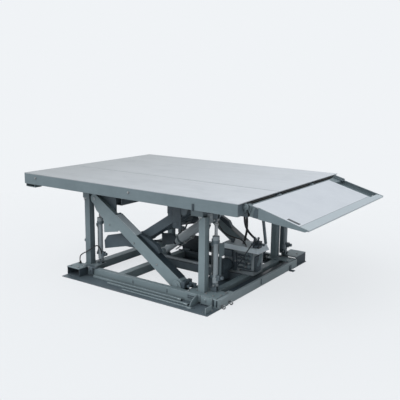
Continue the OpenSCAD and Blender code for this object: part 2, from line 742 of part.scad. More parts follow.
// Rods of the corner jacks, and the lugs under the deck that hold their eyes
rod_in = 330;
module jack_rod(x, y, gland_z) {
    difference() {
        union() {
            translate([x, y, gland_z - rod_in]) cylinder(d = rod_d, h = rod_eye_z - gland_z + rod_in, $fn = 64);
            bar_y(x, rod_eye_z, 2*jack_eye_r, y - jack_eye_w/2, y + jack_eye_w/2);
        }
        bar_y(x, rod_eye_z, jack_pin_d, y - 60, y + 60);
    }
}
module jack_rods() {
    color(bright) for (y = [jack_near_y, jack_far_y]) {
        jack_rod(jack_back_x, y, jack_low_z + jack_l);
        jack_rod(jack_front_x, y, jack_high_z + jack_l);
    }
}
module rod_lugs() {
    color(deep) for (x = [jack_back_x, jack_front_x]) for (near = [true, false]) {
        y = near ? jack_near_y : jack_far_y;
        edge = near ? -rib_in - 10 : rib_out - 10;
        top = stringer_z - lug_t;
        mirror([0, 0, 1]) jack_lugs(x, y, -rod_eye_z, -top, 70);
        box([x - 38, edge, top], [x + 38, y + jack_eye_w/2 + 12, stringer_z]);
    }
}

// Lip, drawn level with its hinge axis at the origin, then tilted into place
lip_half = lip_w/2;
knuckle_w = 40;
ear_t = 12;
hinge_ys = [-lip_half + knuckle_w/2, -400, 400, lip_half - knuckle_w/2];
ear_band = knuckle_w/2 + ear_t + 8;
plate_u0 = 44;
box_end_y = lip_half - 14;
box_t = 8;
cheek_u = 113;
under = lip_top - lip_t;
cheek_low = lip_top - cheek_h;
box_wall = [[12, under], [46, cheek_low - 16], [cheek_u + 29, cheek_low], [cheek_u, under]];
box_hole = [[12 + box_t, under - box_t], [46 + box_t, cheek_low - 16 + box_t],
            [cheek_u + 29 - box_t, cheek_low + box_t], [cheek_u - box_t, under - box_t]];
module on_lip() { translate([lip_x, 0, lip_z]) rotate([0, lip_slope, 0]) children(); }
module lip_ears() {
    color(steel) for (y = hinge_ys) {
        for (side = [-1, 1]) {
            y0 = y + side*(knuckle_w/2 + 1 + ear_t/2) - ear_t/2;
            plate_y(y0, y0 + ear_t) union() {
                translate([lip_x, lip_z]) circle(r = 24, $fn = 64);
                polygon([[deck_x1, rib_z + 20], [deck_x1, plate_z - 2], [lip_x, lip_z + 20], [lip_x, lip_z - 24]]);
            }
        }
        bar_y(lip_x, lip_z, lip_pin_d, y - knuckle_w/2 - ear_t - 20, y + knuckle_w/2 + ear_t + 20);
    }
}
module lip_box() {
    color(steel) on_lip() {
        difference() {
            plate_y(-box_end_y, box_end_y) polygon(box_wall);
            plate_y(-box_end_y + box_t, box_end_y - box_t) polygon(box_hole);
            for (y = hinge_ys) box([-20, y - ear_band, -40], [27, y + ear_band, lip_top]);
        }
        for (y = hinge_ys) plate_y(y - knuckle_w/2, y + knuckle_w/2) difference() {
            union() {
                circle(r = 21, $fn = 64);
                polygon([[0, under], [0, -21], [44, -62], [44, under]]);
            }
            circle(d = lip_pin_d + 2*fit_gap, $fn = 64);
        }
        // Low strip on the far side, and ribs under the plate
        box([cheek_u, lip_half - lip_t - strip_w, lip_top - strip_drop - box_t],
            [lip_l - nose_l + 12, lip_half - lip_t, lip_top - strip_drop]);
        for (y = [-700, 0, 700]) plate_y(y - box_t/2, y + box_t/2)
            polygon([[cheek_u - 1, under], [cheek_u + 25, cheek_low + 14], [lip_l - nose_l, under - 8], [lip_l - nose_l, under]]);
    }
}
slot_u = 402;
slot_l = 126;
slot_w = 15;
slot_y = 48;
module lip_plate() {
    tip = lip_top - nose_l*tan(nose_drop);
    color(pale) on_lip() difference() {
        plate_y(-lip_half + lip_t, lip_half - lip_t)
            polygon([[plate_u0, lip_top], [plate_u0, under], [lip_l - nose_l, under],
                     [lip_l, tip - lip_t], [lip_l, tip], [lip_l - nose_l, lip_top]]);
        box([plate_u0 - 1, lip_half - lip_t - strip_w, under - 1], [lip_l - nose_l + 20, lip_half, lip_top + 1]);
        box([slot_u, -lip_half + slot_y, under - 1], [slot_u + slot_l, -lip_half + slot_y + slot_w, lip_top + 1]);
    }
}
module lip_cheeks() {
    color(steel) on_lip() both_sides() plate_y(-lip_half, -lip_half + lip_t)
        polygon([[cheek_u, lip_top], [cheek_u + 29, cheek_low], [lip_l - cheek_tip_h + 2, lip_top - cheek_tip_h],
                 [lip_l, lip_top]]);
}

// A round hose through a list of places: one ring of corners at each place, then the two flat ends
hose_sides = 10;
function unit(v) = v/norm(v);
function run(pts, i) = unit(i == 0 ? pts[1] - pts[0] :
    i == len(pts) - 1 ? pts[i] - pts[i - 1] : unit(pts[i + 1] - pts[i]) + unit(pts[i] - pts[i - 1]));
function ring(at, dir, r) = let (a = unit(cross(dir, [0.1, 1, 0.05])), b = cross(dir, a))
    [for (k = [0:hose_sides - 1]) at + r*(a*cos(360*k/hose_sides) + b*sin(360*k/hose_sides))];
module hose(pts, d) {
    n = hose_sides;
    last = len(pts) - 1;
    corners = [for (i = [0:last]) each ring(pts[i], run(pts, i), d/2)];
    sides = [for (i = [0:last - 1], k = [0:n - 1]) [i*n + k, (i + 1)*n + k, (i + 1)*n + (k + 1)%n, i*n + (k + 1)%n]];
    polyhedron(corners, concat([[for (k = [0:n - 1]) k]], sides, [[for (k = [n - 1:-1:0]) last*n + k]]), convexity = 10);
}
hose_x = 775;
feed_points = [[775, 0, shelf_z - rest_gap], [775, 0, 1005], [773, 0, 950], [771, 0, 895], [770, 0, 845], [770, 0, 795],
    [772, 0, 750], [778, 0, 706], [790, 0, 667], [808, 0, 633], [831, 0, 604], [858, 0, 580], [886, 0, 559],
    [912, 0, 539], [932, 0, 520], [944, 0, 504]];
return_points = [[775, 45, shelf_z - rest_gap], [775, 45, 1005], [774, 45, 950], [774, 45, 900], [774, 45, 850],
    [775, 45, 800], [777, 45, 750], [779, 45, 705], [780, 45, 660], [779, 45, 615], [774, 45, 575], [766, 45, 535],
    [757, 45, 497], [748, 45, 462], [742, 45, 430]];
ram_hose_points = [[600, -300, 1000 - rest_gap], [600, -300, 940], [598, -300, 880], [599, -300, 820],
    [603, -299, 765], [615, -295, 712], [640, -286, 664], [676, -268, 624], [718, -240, 594], [760, -200, 570],
    [792, -155, 550], [812, -112, 524], [822, -80, 492], [827, -56, 460], [829, -46, 430]];
module feed_hose() { color(dark) hose(feed_points, hose_d); }
module return_hose() { color(dark) hose(return_points, hose_d); }
module ram_hose() { color(dark) hose(ram_hose_points, thin_hose_d); }

soles();
long_channels();
crossbars();
front_tube();
centre_rails();
centre_pipe();
corner_boxes();
corner_plates();
pivot_brackets();
jack_feet();
back_posts();
front_posts();
post_heads();
jack_barrels();
oil_tank();
tank_lid();
pump_motor();
valve_block();
arm_near();
arm_far();
arm_gussets();
arm_cross_tubes();
rollers();
links();
link_tube();
plunger();
ram_barrel();
near_deck_plate();
far_deck_plate();
fascias();
stringers();
deck_ribs();
rear_beam();
front_beam();
link_lugs();
ram_lugs();
jack_rods();
rod_lugs();
lip_ears();
lip_plate();
lip_cheeks();
lip_box();
feed_hose();
return_hose();
ram_hose();
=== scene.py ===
import json
import math
import bmesh
import bpy
from mathutils import Matrix, Vector


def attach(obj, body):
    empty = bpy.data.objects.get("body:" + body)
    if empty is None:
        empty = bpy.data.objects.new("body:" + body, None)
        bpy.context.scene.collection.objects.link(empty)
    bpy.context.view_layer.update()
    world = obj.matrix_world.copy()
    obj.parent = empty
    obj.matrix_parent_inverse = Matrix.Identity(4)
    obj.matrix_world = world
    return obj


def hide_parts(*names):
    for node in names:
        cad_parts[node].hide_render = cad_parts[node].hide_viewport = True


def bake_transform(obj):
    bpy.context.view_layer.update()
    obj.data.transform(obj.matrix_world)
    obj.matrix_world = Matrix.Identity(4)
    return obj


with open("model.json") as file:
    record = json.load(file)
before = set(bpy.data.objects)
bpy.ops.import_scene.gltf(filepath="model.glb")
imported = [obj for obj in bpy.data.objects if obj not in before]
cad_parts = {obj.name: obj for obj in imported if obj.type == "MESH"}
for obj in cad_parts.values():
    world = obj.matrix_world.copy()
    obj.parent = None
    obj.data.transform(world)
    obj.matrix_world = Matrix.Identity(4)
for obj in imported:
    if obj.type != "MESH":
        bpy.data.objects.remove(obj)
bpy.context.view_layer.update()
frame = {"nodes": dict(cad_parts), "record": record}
print("stage: frame loaded")

scene = bpy.context.scene
scene.view_settings.view_transform = "Standard"


def addObject(name, data):
    thing = bpy.data.objects.new(name, data)
    scene.collection.objects.link(thing)
    return thing


# The camera stands where the fitted photograph was taken from
cameraPlace = {
    "place": (4.1526, -5.8154, 2.3153),
    "yaw": 0.6039,      # turned from +Y towards -X
    "pitch": 0.1985,    # looking down
    "roll": 0.0128,
    "lens": 53.59,      # on a 36 mm sensor
}


def makeCamera(v):
    camera = bpy.data.cameras.new("camera")
    camera.sensor_width = 36
    camera.lens = v["lens"]
    camera.clip_end = 60
    holder = addObject("camera", camera)
    ahead = Vector((-math.sin(v["yaw"]) * math.cos(v["pitch"]),
                    math.cos(v["yaw"]) * math.cos(v["pitch"]), -math.sin(v["pitch"])))
    right = ahead.cross(Vector((0, 0, 1))).normalized()
    up = right.cross(ahead)
    turnedRight = right * math.cos(v["roll"]) + up * math.sin(v["roll"])
    turnedUp = up * math.cos(v["roll"]) - right * math.sin(v["roll"])
    turn = Matrix((turnedRight, turnedUp, -ahead)).transposed()
    holder.matrix_world = Matrix.Translation(v["place"]) @ turn.to_4x4()
    scene.camera = holder


makeCamera(cameraPlace)
print("stage: camera")


# Node helpers: inputs may be values or sockets
def put(tree, kind, settings=None, inputs=None):
    node = tree.nodes.new("ShaderNode" + kind)
    for name, value in (settings or {}).items():
        setattr(node, name, value)
    for name, value in (inputs or {}).items():
        if isinstance(value, bpy.types.NodeSocket):
            tree.links.new(value, node.inputs[name])
        else:
            node.inputs[name].default_value = value
    return node


def reach(tree, value, low, high, start=0.0, end=1.0):
    return put(tree, "MapRange", {}, {"Value": value, "From Min": low, "From Max": high,
                                      "To Min": start, "To Max": end}).outputs["Result"]


def times(tree, a, b, operation="MULTIPLY"):
    return put(tree, "Math", {"operation": operation}, {0: a, 1: b}).outputs[0]


def blendColor(tree, factor, a, b, mode="MIX"):
    return put(tree, "Mix", {"data_type": "RGBA", "blend_type": mode, "clamp_factor": True},
               {0: factor, 6: a, 7: b}).outputs[2]


def blendFactor(tree, factor, a, b):
    return put(tree, "Mix", {"data_type": "FLOAT"}, {0: factor, 2: a, 3: b}).outputs[0]


def noise(tree, vector, scale, detail, rough):
    return put(tree, "TexNoise", {}, {"Vector": vector, "Scale": scale, "Detail": detail,
                                      "Roughness": rough}).outputs[0]


# Wear, grime with painted shade in corners, and fine relief that all painted steel shares. A noise is its
# scale, detail and roughness, and a cut is where a mask starts and ends
wear = {
    "edge": 0.006,      # width of the rounded and rubbed edges
    "cavity": 0.16,     # reach of the grime and painted shade in corners
    "cloud": (2.3, 5.0, 0.6), "patches": (11.0, 4.0, 0.65), "cloudShare": 0.62, "patchShare": 0.38,
    "drawn": (1.2, 1.2, 14.0), "streak": (6.0, 6.0, 0.7), "streakCut": (0.52, 0.72),
    "ragged": (60.0, 4.0, 0.7), "raggedCut": (0.38, 0.62), "edgeCut": (0.998, 0.93),
    "closedCut": (0.95, 0.25), "patchyCut": (0.25, 0.7, 0.6, 1.0),
    "grain": (3.0, 0.6), "reliefDepth": 0.0015,
}


def makeSurface(v):
    group = bpy.data.node_groups.new("steelSurface", "ShaderNodeTree")
    for way, labels, kind in (("INPUT", "Grain Relief", "Float"), ("OUTPUT", "Cloud Streak Edge Grime", "Float"),
                              ("OUTPUT", "Normal", "Vector")):
        for label in labels.split():
            group.interface.new_socket(name=label, in_out=way, socket_type="NodeSocket" + kind)
    given, out = group.nodes.new("NodeGroupInput").outputs, group.nodes.new("NodeGroupOutput").inputs
    place = put(group, "TexCoord").outputs["Object"]
    cloud = noise(group, place, *v["cloud"])
    patches = noise(group, place, *v["patches"])
    mixed = times(group, times(group, cloud, v["cloudShare"]), times(group, patches, v["patchShare"]), "ADD")
    group.links.new(mixed, out["Cloud"])
    drawn = put(group, "Mapping", {}, {"Vector": place, "Scale": v["drawn"]}).outputs[0]
    streak = noise(group, drawn, *v["streak"])
    group.links.new(reach(group, streak, *v["streakCut"]), out["Streak"])
    rounded = put(group, "Bevel", {"samples": 4}, {"Radius": v["edge"]}).outputs[0]
    real = put(group, "NewGeometry").outputs["Normal"]
    dot = put(group, "VectorMath", {"operation": "DOT_PRODUCT"}, {0: rounded, 1: real}).outputs["Value"]
    ragged = reach(group, noise(group, place, *v["ragged"]), *v["raggedCut"])
    group.links.new(times(group, reach(group, dot, *v["edgeCut"]), ragged), out["Edge"])
    # Painted shade: ambient occlusion darkens corners, recesses and parts under the deck, and patchy noise adds
    # grime to it
    hidden = put(group, "AmbientOcclusion", {"samples": 6}, {"Distance": v["cavity"]}).outputs["AO"]
    closed = reach(group, hidden, *v["closedCut"])
    group.links.new(times(group, closed, reach(group, patches, *v["patchyCut"])), out["Grime"])
    grain = noise(group, place, given["Grain"], *v["grain"])
    bump = put(group, "Bump", {}, {"Strength": given["Relief"], "Distance": v["reliefDepth"], "Height": grain,
                                   "Normal": rounded})
    group.links.new(bump.outputs[0], out["Normal"])
    return group


steelSurface = makeSurface(wear)

# What a paint has unless it says otherwise: fine relief, and how much of each kind of wear, grime and painted shade
# shows
usual = {"grain": 260.0, "relief": 0.12, "streak": 0.25, "edge": 0.55, "grime": 0.75, "metal": 0.0,
         "cloudCut": (0.36, 0.64), "roughCut": (0.3, 0.7), "roughStep": (-0.07, 0.1), "grimeRough": 0.25}


def newMaterial(name):
    mat = bpy.data.materials.new(name)
    mat.use_nodes = True
    return mat, mat.node_tree, mat.node_tree.nodes["Principled BSDF"]


def paint(name, row):
    v = {**usual, **dict(zip(paintColumns, row)), **row[-1]}
    mat, tree, shader = newMaterial(name)
    surface = put(tree, "Group", {"node_tree": steelSurface},
                  {"Grain": v["grain"], "Relief": v["relief"]}).outputs
    cloud = reach(tree, surface["Cloud"], *v["cloudCut"])
    color = blendColor(tree, cloud, (*v["dark"], 1), (*v["color"], 1))
    # The grime layer darkens corners and parts under the deck: painted shade as well as dirt
    for mask, share, layer in (("Streak", "streak", "rub"), ("Edge", "edge", "bare"), ("Grime", "grime", "dirtAndShade")):
        color = blendColor(tree, times(tree, surface[mask], v[share]), color, (*v[layer], 1))
    tree.links.new(color, shader.inputs["Base Color"])
    rough = reach(tree, surface["Cloud"], *v["roughCut"], *[v["rough"] + step for step in v["roughStep"]])
    roughInGrimeAndShade = times(tree, surface["Grime"], v["grimeRough"])
    tree.links.new(times(tree, rough, roughInGrimeAndShade, "ADD"), shader.inputs["Roughness"])
    tree.links.new(surface["Normal"], shader.inputs["Normal"])
    shader.inputs["Metallic"].default_value = v["metal"]
    return mat


# The columns of a paint: its colour, its darker clouds, rubbed streaks, bare edges, grime with painted shade in
# corners, and roughness
paintColumns = ("color", "dark", "rub", "bare", "dirtAndShade", "rough")
paints = {
    "grey_paint": ((0.164, 0.215, 0.238), (0.136, 0.182, 0.203), (0.235, 0.29, 0.312), (0.34, 0.4, 0.425),
                   (0.032, 0.043, 0.05), 0.46, {"grime": 0.55}),
    # The base frame, the front posts and the arms are painted paler than the grey paint: painted light that
    # brightens them in the deck's shade
    "lit_frame_paint": ((0.228, 0.295, 0.32), (0.188, 0.248, 0.27), (0.3, 0.36, 0.382), (0.56, 0.63, 0.66),
                    (0.036, 0.047, 0.054), 0.48, {"grime": 0.5, "edge": 0.8}),
    "dark_grey_paint": ((0.128, 0.168, 0.194), (0.082, 0.11, 0.13), (0.185, 0.225, 0.25), (0.28, 0.32, 0.345),
                        (0.022, 0.031, 0.038), 0.42, {"grime": 0.55}),
    # Shadowed blue-black steel of the links, gussets and hinge ears
    "deep_paint": ((0.07, 0.1, 0.122), (0.044, 0.065, 0.081), (0.12, 0.15, 0.17), (0.22, 0.26, 0.28),
                   (0.014, 0.019, 0.023), 0.4, {"grime": 0.5}),
    "barrel_paint": ((0.31, 0.362, 0.392), (0.235, 0.278, 0.302), (0.38, 0.42, 0.44), (0.48, 0.52, 0.54),
                     (0.045, 0.054, 0.06), 0.3, {"grime": 0.35}),
    # Painted light: the ram's paint is lighter, standing in for light on it under the deck
    "lit_ram_paint": ((0.6, 0.672, 0.712), (0.5, 0.565, 0.602), (0.66, 0.71, 0.74), (0.58, 0.62, 0.64),
                  (0.09, 0.105, 0.115), 0.28, {"grime": 0.2}),
    # Painted light: the front tube's paint is lighter, standing in for light on its dimly lit front face
    "lit_sill_paint": ((0.345, 0.415, 0.442), (0.29, 0.352, 0.376), (0.42, 0.48, 0.5), (0.6, 0.66, 0.69),
                   (0.07, 0.085, 0.094), 0.46, {"grime": 0.3}),
    "pale_paint": ((0.68, 0.77, 0.82), (0.6, 0.69, 0.74), (0.68, 0.75, 0.79), (0.7, 0.76, 0.79), (0.2, 0.24, 0.26),
                   0.4, {"grime": 0.12}),
    "black_paint": ((0.034, 0.052, 0.066), (0.019, 0.03, 0.039), (0.075, 0.1, 0.116), (0.18, 0.215, 0.235),
                    (0.009, 0.013, 0.017), 0.38, {"grime": 0.5}),
    "chrome_rod": ((0.4, 0.42, 0.44), (0.28, 0.3, 0.315), (0.55, 0.56, 0.57), (0.62, 0.63, 0.64),
                   (0.03, 0.03, 0.03), 0.22, {"metal": 1.0, "relief": 0.04}),
    "bare_steel": ((0.42, 0.47, 0.5), (0.3, 0.34, 0.365), (0.5, 0.54, 0.56), (0.6, 0.63, 0.65), (0.05, 0.06, 0.065),
                   0.4, {"metal": 0.35, "grime": 0.4}),
    "zinc": ((0.42, 0.45, 0.46), (0.28, 0.3, 0.31), (0.5, 0.52, 0.53), (0.6, 0.61, 0.62), (0.03, 0.03, 0.03), 0.38,
             {"metal": 0.8, "grain": 500.0}),
    "black_rubber": ((0.024, 0.026, 0.028), (0.014, 0.015, 0.016), (0.05, 0.052, 0.055), (0.07, 0.072, 0.075),
                     (0.008, 0.008, 0.008), 0.5, {"grain": 700.0, "relief": 0.2}),
}

# The deck and the lip carry a fine gritty coat with traffic lanes and worn patches, and the deck is painted paler
# towards the lip as painted light. They share this
traffic = {
    "grain": 400.0, "relief": 0.06, "cloudCut": (0.36, 0.64),
    "drawn": (0.5, 3.5, 1.0), "lane": (1.6, 5.0, 0.55), "laneCut": (0.45, 0.68), "laneShare": 0.3,
    "worn": (3.4, 6.0, 0.62), "wornCut": (0.52, 0.78), "wornShare": 0.14, "wornRough": 0.14,
    "fleck": (95.0, 2.0, 0.5), "fleckCut": (0.35, 0.65), "fleckShare": 0.08,
    "grit": 210.0, "gritRelief": 0.25, "gritDepth": 0.0012, "noseRelief": 0.02,
    "seam": (0.16, 0.19, 0.21), "seamShare": 0.8, "seamBack": (-0.004, -0.003), "seamFront": (0.002, 0.001),
    "edgeShare": 0.4, "grime": (0.05, 0.055, 0.06), "grimeShare": 0.6,
}
deckCoat = {
    **traffic,
    "color": (0.44, 0.468, 0.492), "dark": (0.405, 0.432, 0.455), "track": (0.505, 0.53, 0.56),
    "scuff": (0.34, 0.358, 0.378), "ends": (-1.6, 1.4), "paintedLightTints": ((0.9, 0.91, 0.905), (1.42, 1.43, 1.46)),
    "rough": 0.46, "nose": None,
}
lipCoat = {
    **traffic,
    "color": (0.68, 0.73, 0.79), "dark": (0.64, 0.688, 0.748), "track": (0.715, 0.76, 0.812),
    "scuff": (0.53, 0.565, 0.615), "ends": (1.4, 2.05), "paintedLightTints": ((1.0, 1.0, 1.0), (1.0, 1.0, 1.0)),
    "rough": 0.44,
    "nose": (1.944, (0.475, 0.55, 0.595)),     # bare smooth paint beyond this X, and its colour
}


def gritCoat(name, v):
    mat, tree, shader = newMaterial(name)
    surface = put(tree, "Group", {"node_tree": steelSurface},
                  {"Grain": v["grain"], "Relief": v["relief"]}).outputs
    place = put(tree, "TexCoord").outputs["Object"]
    along = put(tree, "SeparateXYZ", {}, {0: place}).outputs[0]
    drawn = put(tree, "Mapping", {}, {"Vector": place, "Scale": v["drawn"]}).outputs[0]
    lane = reach(tree, noise(tree, drawn, *v["lane"]), *v["laneCut"])
    worn = reach(tree, noise(tree, place, *v["worn"]), *v["wornCut"])
    dots = put(tree, "TexVoronoi", {"feature": "F1"}, {"Vector": place, "Scale": v["grit"]}).outputs["Distance"]
    fleck = reach(tree, noise(tree, place, *v["fleck"]), *v["fleckCut"])
    color = blendColor(tree, reach(tree, surface["Cloud"], *v["cloudCut"]), (*v["dark"], 1), (*v["color"], 1))
    for mask, share, layer in ((lane, "laneShare", "track"), (worn, "wornShare", "scuff"),
                               (fleck, "fleckShare", "scuff")):
        color = blendColor(tree, times(tree, mask, v[share]), color, (*v[layer], 1))
    # Painted light: the deck's colour grows paler towards the lip, where the light is brighter
    paintedLight = blendColor(tree, reach(tree, along, *v["ends"]), (*v["paintedLightTints"][0], 1), (*v["paintedLightTints"][1], 1))
    color = blendColor(tree, 1.0, color, paintedLight, "MULTIPLY")
    rough = reach(tree, worn, 0.0, 1.0, v["rough"], v["rough"] + v["wornRough"])
    relief = v["gritRelief"]
    if v["nose"]:
        line, bare = v["nose"]
        past = reach(tree, along, line, line + 0.001)
        color = blendColor(tree, past, color, (*bare, 1))
        seam = times(tree, *[reach(tree, along, *[line + step for step in v[end]])
                             for end in ("seamBack", "seamFront")])
        color = blendColor(tree, times(tree, seam, v["seamShare"]), color, (*v["seam"], 1))
        relief = reach(tree, past, 0.0, 1.0, v["gritRelief"], v["noseRelief"])
    color = blendColor(tree, times(tree, surface["Edge"], v["edgeShare"]), color, (*v["track"], 1))
    # Painted shade: the occlusion mask darkens the coat in corners, along with grime
    color = blendColor(tree, times(tree, surface["Grime"], v["grimeShare"]), color, (*v["grime"], 1))
    tree.links.new(color, shader.inputs["Base Color"])
    tree.links.new(rough, shader.inputs["Roughness"])
    grit = put(tree, "Bump", {}, {"Strength": relief, "Distance": v["gritDepth"], "Height": dots,
                                  "Normal": surface["Normal"]}).outputs[0]
    tree.links.new(grit, shader.inputs["Normal"])
    return mat


materials = {name: paint(name, row) for name, row in paints.items()}
materials["tread_plate"] = gritCoat("deckCoat", deckCoat)
# CAD parts whose coat differs from the others of their slot
nodeCoats = {"lip_plate": gritCoat("lipCoat", lipCoat)}
# Painted light: the frame, sill and ram paints are paler copies that stand in for light on parts under the deck
for coat, names in (("lit_frame_paint", "long_channels crossbars front_posts corner_plates arm_near arm_far "
                                     "pivot_brackets"),
                    ("deep_paint", "arm_gussets links link_tube lip_ears corner_boxes pump_motor"),
                    ("dark_grey_paint", "soles"),
                    ("lit_sill_paint", "front_tube"), ("lit_ram_paint", "plunger ram_barrel"),
                    ("barrel_paint", "jack_barrels oil_tank")):
    for name in names.split():
        nodeCoats[name] = materials[coat]
for part in frame["record"]["subparts"]:
    node = frame["nodes"][part["node"]]
    node.data.materials.clear()
    node.data.materials.append(nodeCoats.get(part["node"], materials[part["material_slot"]]))
print("stage: materials")


# Mesh helpers: each adds one shape to the piece that is being made
def turnTo(at, direction):
    return Matrix.Translation(at) @ Vector(direction).to_track_quat("Z", "Y").to_matrix().to_4x4()


def join(bm, part, place=None):
    if place is not None:
        part.transform(place)
    bmesh.ops.recalc_face_normals(part, faces=part.faces)
    shell = bpy.data.meshes.new("shell")
    part.to_mesh(shell)
    part.free()
    bm.from_mesh(shell)
    bpy.data.meshes.remove(shell)


def bevel(part, edges, width, segments=2):
    bmesh.ops.bevel(part, geom=edges, offset=width, segments=segments, profile=0.5, affect="EDGES", material=-1)


def addBlock(bm, low, high, edge, place=None):
    part = bmesh.new()
    bmesh.ops.create_cube(part, size=1)
    middle = (Vector(low) + Vector(high)) / 2
    size = Vector(high) - Vector(low)
    bmesh.ops.scale(part, vec=size, verts=part.verts)
    bevel(part, part.edges[:], edge)
    bmesh.ops.translate(part, vec=middle, verts=part.verts)
    join(bm, part, place)


def addRod(bm, start, end, diameter, sides, edge=0.002):
    start, end = Vector(start), Vector(end)
    part = bmesh.new()
    bmesh.ops.create_cone(part, cap_ends=True, segments=sides, radius1=diameter / 2, radius2=diameter / 2,
                          depth=(end - start).length)
    rims = [e for e in part.edges if abs(e.verts[0].co.z - e.verts[1].co.z) < 1e-6]
    bevel(part, rims, edge)
    join(bm, part, turnTo((start + end) / 2, end - start))


# A turned shape: pairs of distance along the axis and radius, from the axis back to the axis
def addTurned(bm, at, direction, profile, sides=28):
    part = bmesh.new()
    corners = [part.verts.new((radius, 0, along)) for along, radius in profile]
    outline = [part.edges.new(pair) for pair in zip(corners, corners[1:])]
    bmesh.ops.spin(part, geom=corners + outline, cent=(0, 0, 0), axis=(0, 0, 1), angle=math.tau, steps=sides,
                   use_merge=True, use_duplicate=False)
    bmesh.ops.remove_doubles(part, verts=part.verts, dist=0.00001)
    join(bm, part, turnTo(at, direction))


# A bolt: its washer and six-sided head stand on the face at the given place
def addBolt(bm, at, direction, size):
    addTurned(bm, at, direction, [(0, 0), (0, size * 1.05), (size * 0.16, size * 1.05), (size * 0.18, 0)])
    part = bmesh.new()
    bmesh.ops.create_cone(part, cap_ends=True, segments=6, radius1=size * 0.92, radius2=size * 0.92,
                          depth=size * 0.62)
    rims = [e for e in part.edges if e.verts[0].co.z > 0 and e.verts[1].co.z > 0]
    bevel(part, rims, size * 0.1)
    bmesh.ops.translate(part, vec=(0, 0, size * 0.48), verts=part.verts)
    join(bm, part, turnTo(at, direction))


def addPlate(bm, outline, normal, thickness, edge):
    part = bmesh.new()
    face = part.faces.new([part.verts.new(p) for p in outline])
    step = Vector(normal) * thickness
    made = bmesh.ops.extrude_face_region(part, geom=[face])["geom"]
    bmesh.ops.translate(part, vec=step, verts=[g for g in made if isinstance(g, bmesh.types.BMVert)])
    bmesh.ops.recalc_face_normals(part, faces=part.faces)
    bevel(part, part.edges[:], edge, 1)
    join(bm, part)


# A smooth line through given points
def smoothLine(points, steps):
    p = [Vector(q) for q in points]
    p = [p[0] * 2 - p[1]] + p + [p[-1] * 2 - p[-2]]
    line = []
    for i in range(1, len(p) - 2):
        for k in range(steps):
            t = k / steps
            line.append(0.5 * (p[i] * 2 + (p[i + 1] - p[i - 1]) * t
                               + (p[i - 1] * 2 - p[i] * 5 + p[i + 1] * 4 - p[i + 2]) * t * t
                               + (p[i] * 3 - p[i - 1] - p[i + 1] * 3 + p[i + 2]) * t ** 3))
    return line + [p[-2]]


def tubeMesh(name, line, diameter, resolution):
    curve = bpy.data.curves.new(name, "CURVE")
    curve.dimensions = "3D"
    curve.bevel_depth = diameter / 2
    curve.bevel_resolution = resolution
    curve.use_fill_caps = True
    spline = curve.splines.new("POLY")
    spline.points.add(len(line) - 1)
    for point, place in zip(spline.points, line):
        point.co = (*place, 1)
    holder = addObject(name, curve)
    mesh = bpy.data.meshes.new_from_object(holder.evaluated_get(bpy.context.evaluated_depsgraph_get()))
    bpy.data.objects.remove(holder)
    bpy.data.curves.remove(curve)
    mesh.name = name
    return mesh


def addTube(bm, line, diameter):
    mesh = tubeMesh("tube", line, diameter, 3)
    bm.from_mesh(mesh)
    bpy.data.meshes.remove(mesh)


def addPipe(bm, points, diameter, steps=5):
    addTube(bm, smoothLine(points, steps), diameter)


# Smooth shading with sharp edges beyond an angle in degrees
def smooth(mesh, angle):
    mesh.polygons.foreach_set("use_smooth", [True] * len(mesh.polygons))
    mesh.set_sharp_from_angle(angle=math.radians(angle))


def finished(name, bm, slot, body="base"):
    mesh = bpy.data.meshes.new(name)
    bm.to_mesh(mesh)
    bm.free()
    smooth(mesh, 32)
    mesh.materials.append(materials[slot])
    piece = addObject(name, mesh)
    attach(piece, body)
    return piece


bothSides = (-1, 1)

# Three hoses hang from the deck to the power unit
hoses = {
    "feedHose": {
        "node": "feed_hose", "diameter": 0.026, "length": 0.622, "blend": (0.58, 0.98),
        "points": [(0.775, 0, 1.0597), (0.775, 0, 1.005), (0.773, 0, 0.95), (0.771, 0, 0.895), (0.77, 0, 0.845),
                   (0.77, 0, 0.795), (0.772, 0, 0.75), (0.778, 0, 0.706), (0.79, 0, 0.667), (0.808, 0, 0.633),
                   (0.831, 0, 0.604), (0.858, 0, 0.58), (0.886, 0, 0.559), (0.912, 0, 0.539), (0.932, 0, 0.52),
                   (0.944, 0, 0.504)]},
    "returnHose": {
        "node": "return_hose", "diameter": 0.026, "length": 0.634, "blend": (0.5, 0.98),
        "points": [(0.775, 0.045, 1.0597), (0.775, 0.045, 1.005), (0.774, 0.045, 0.95), (0.774, 0.045, 0.9),
                   (0.774, 0.045, 0.85), (0.775, 0.045, 0.8), (0.777, 0.045, 0.75), (0.779, 0.045, 0.705),
                   (0.78, 0.045, 0.66), (0.779, 0.045, 0.615), (0.774, 0.045, 0.575), (0.766, 0.045, 0.535),
                   (0.757, 0.045, 0.497), (0.748, 0.045, 0.462), (0.742, 0.045, 0.43)]},
    "ramHose": {
        "node": "ram_hose", "diameter": 0.016, "length": 0.755, "blend": (0.5, 0.94),
        "points": [(0.6, -0.3, 0.9997), (0.6, -0.3, 0.94), (0.598, -0.3, 0.88), (0.599, -0.3, 0.82),
                   (0.603, -0.299, 0.765), (0.615, -0.295, 0.712), (0.64, -0.286, 0.664), (0.676, -0.268, 0.624),
                   (0.718, -0.24, 0.594), (0.76, -0.2, 0.57), (0.792, -0.155, 0.55), (0.812, -0.112, 0.524),
                   (0.822, -0.08, 0.492), (0.827, -0.056, 0.46), (0.829, -0.046, 0.43)]},
}

# The metal sleeve on each end of a hose
ferrule = {
    # Distances along the hose and radii, in hose diameters
    "shape": ((0, 0), (0, 0.72), (0.45, 0.72), (0.5, 0.6), (0.6, 0.66), (1.5, 0.64), (1.65, 0.53), (1.66, 0)),
    "standOff": 0.008,      # from the hose's low end
}


def makeFerrule(name, place, direction, diameter, body):
    bm = bmesh.new()
    addTurned(bm, place, direction, [(diameter * along, diameter * radius) for along, radius in ferrule["shape"]])
    return finished(name, bm, "zinc", body)


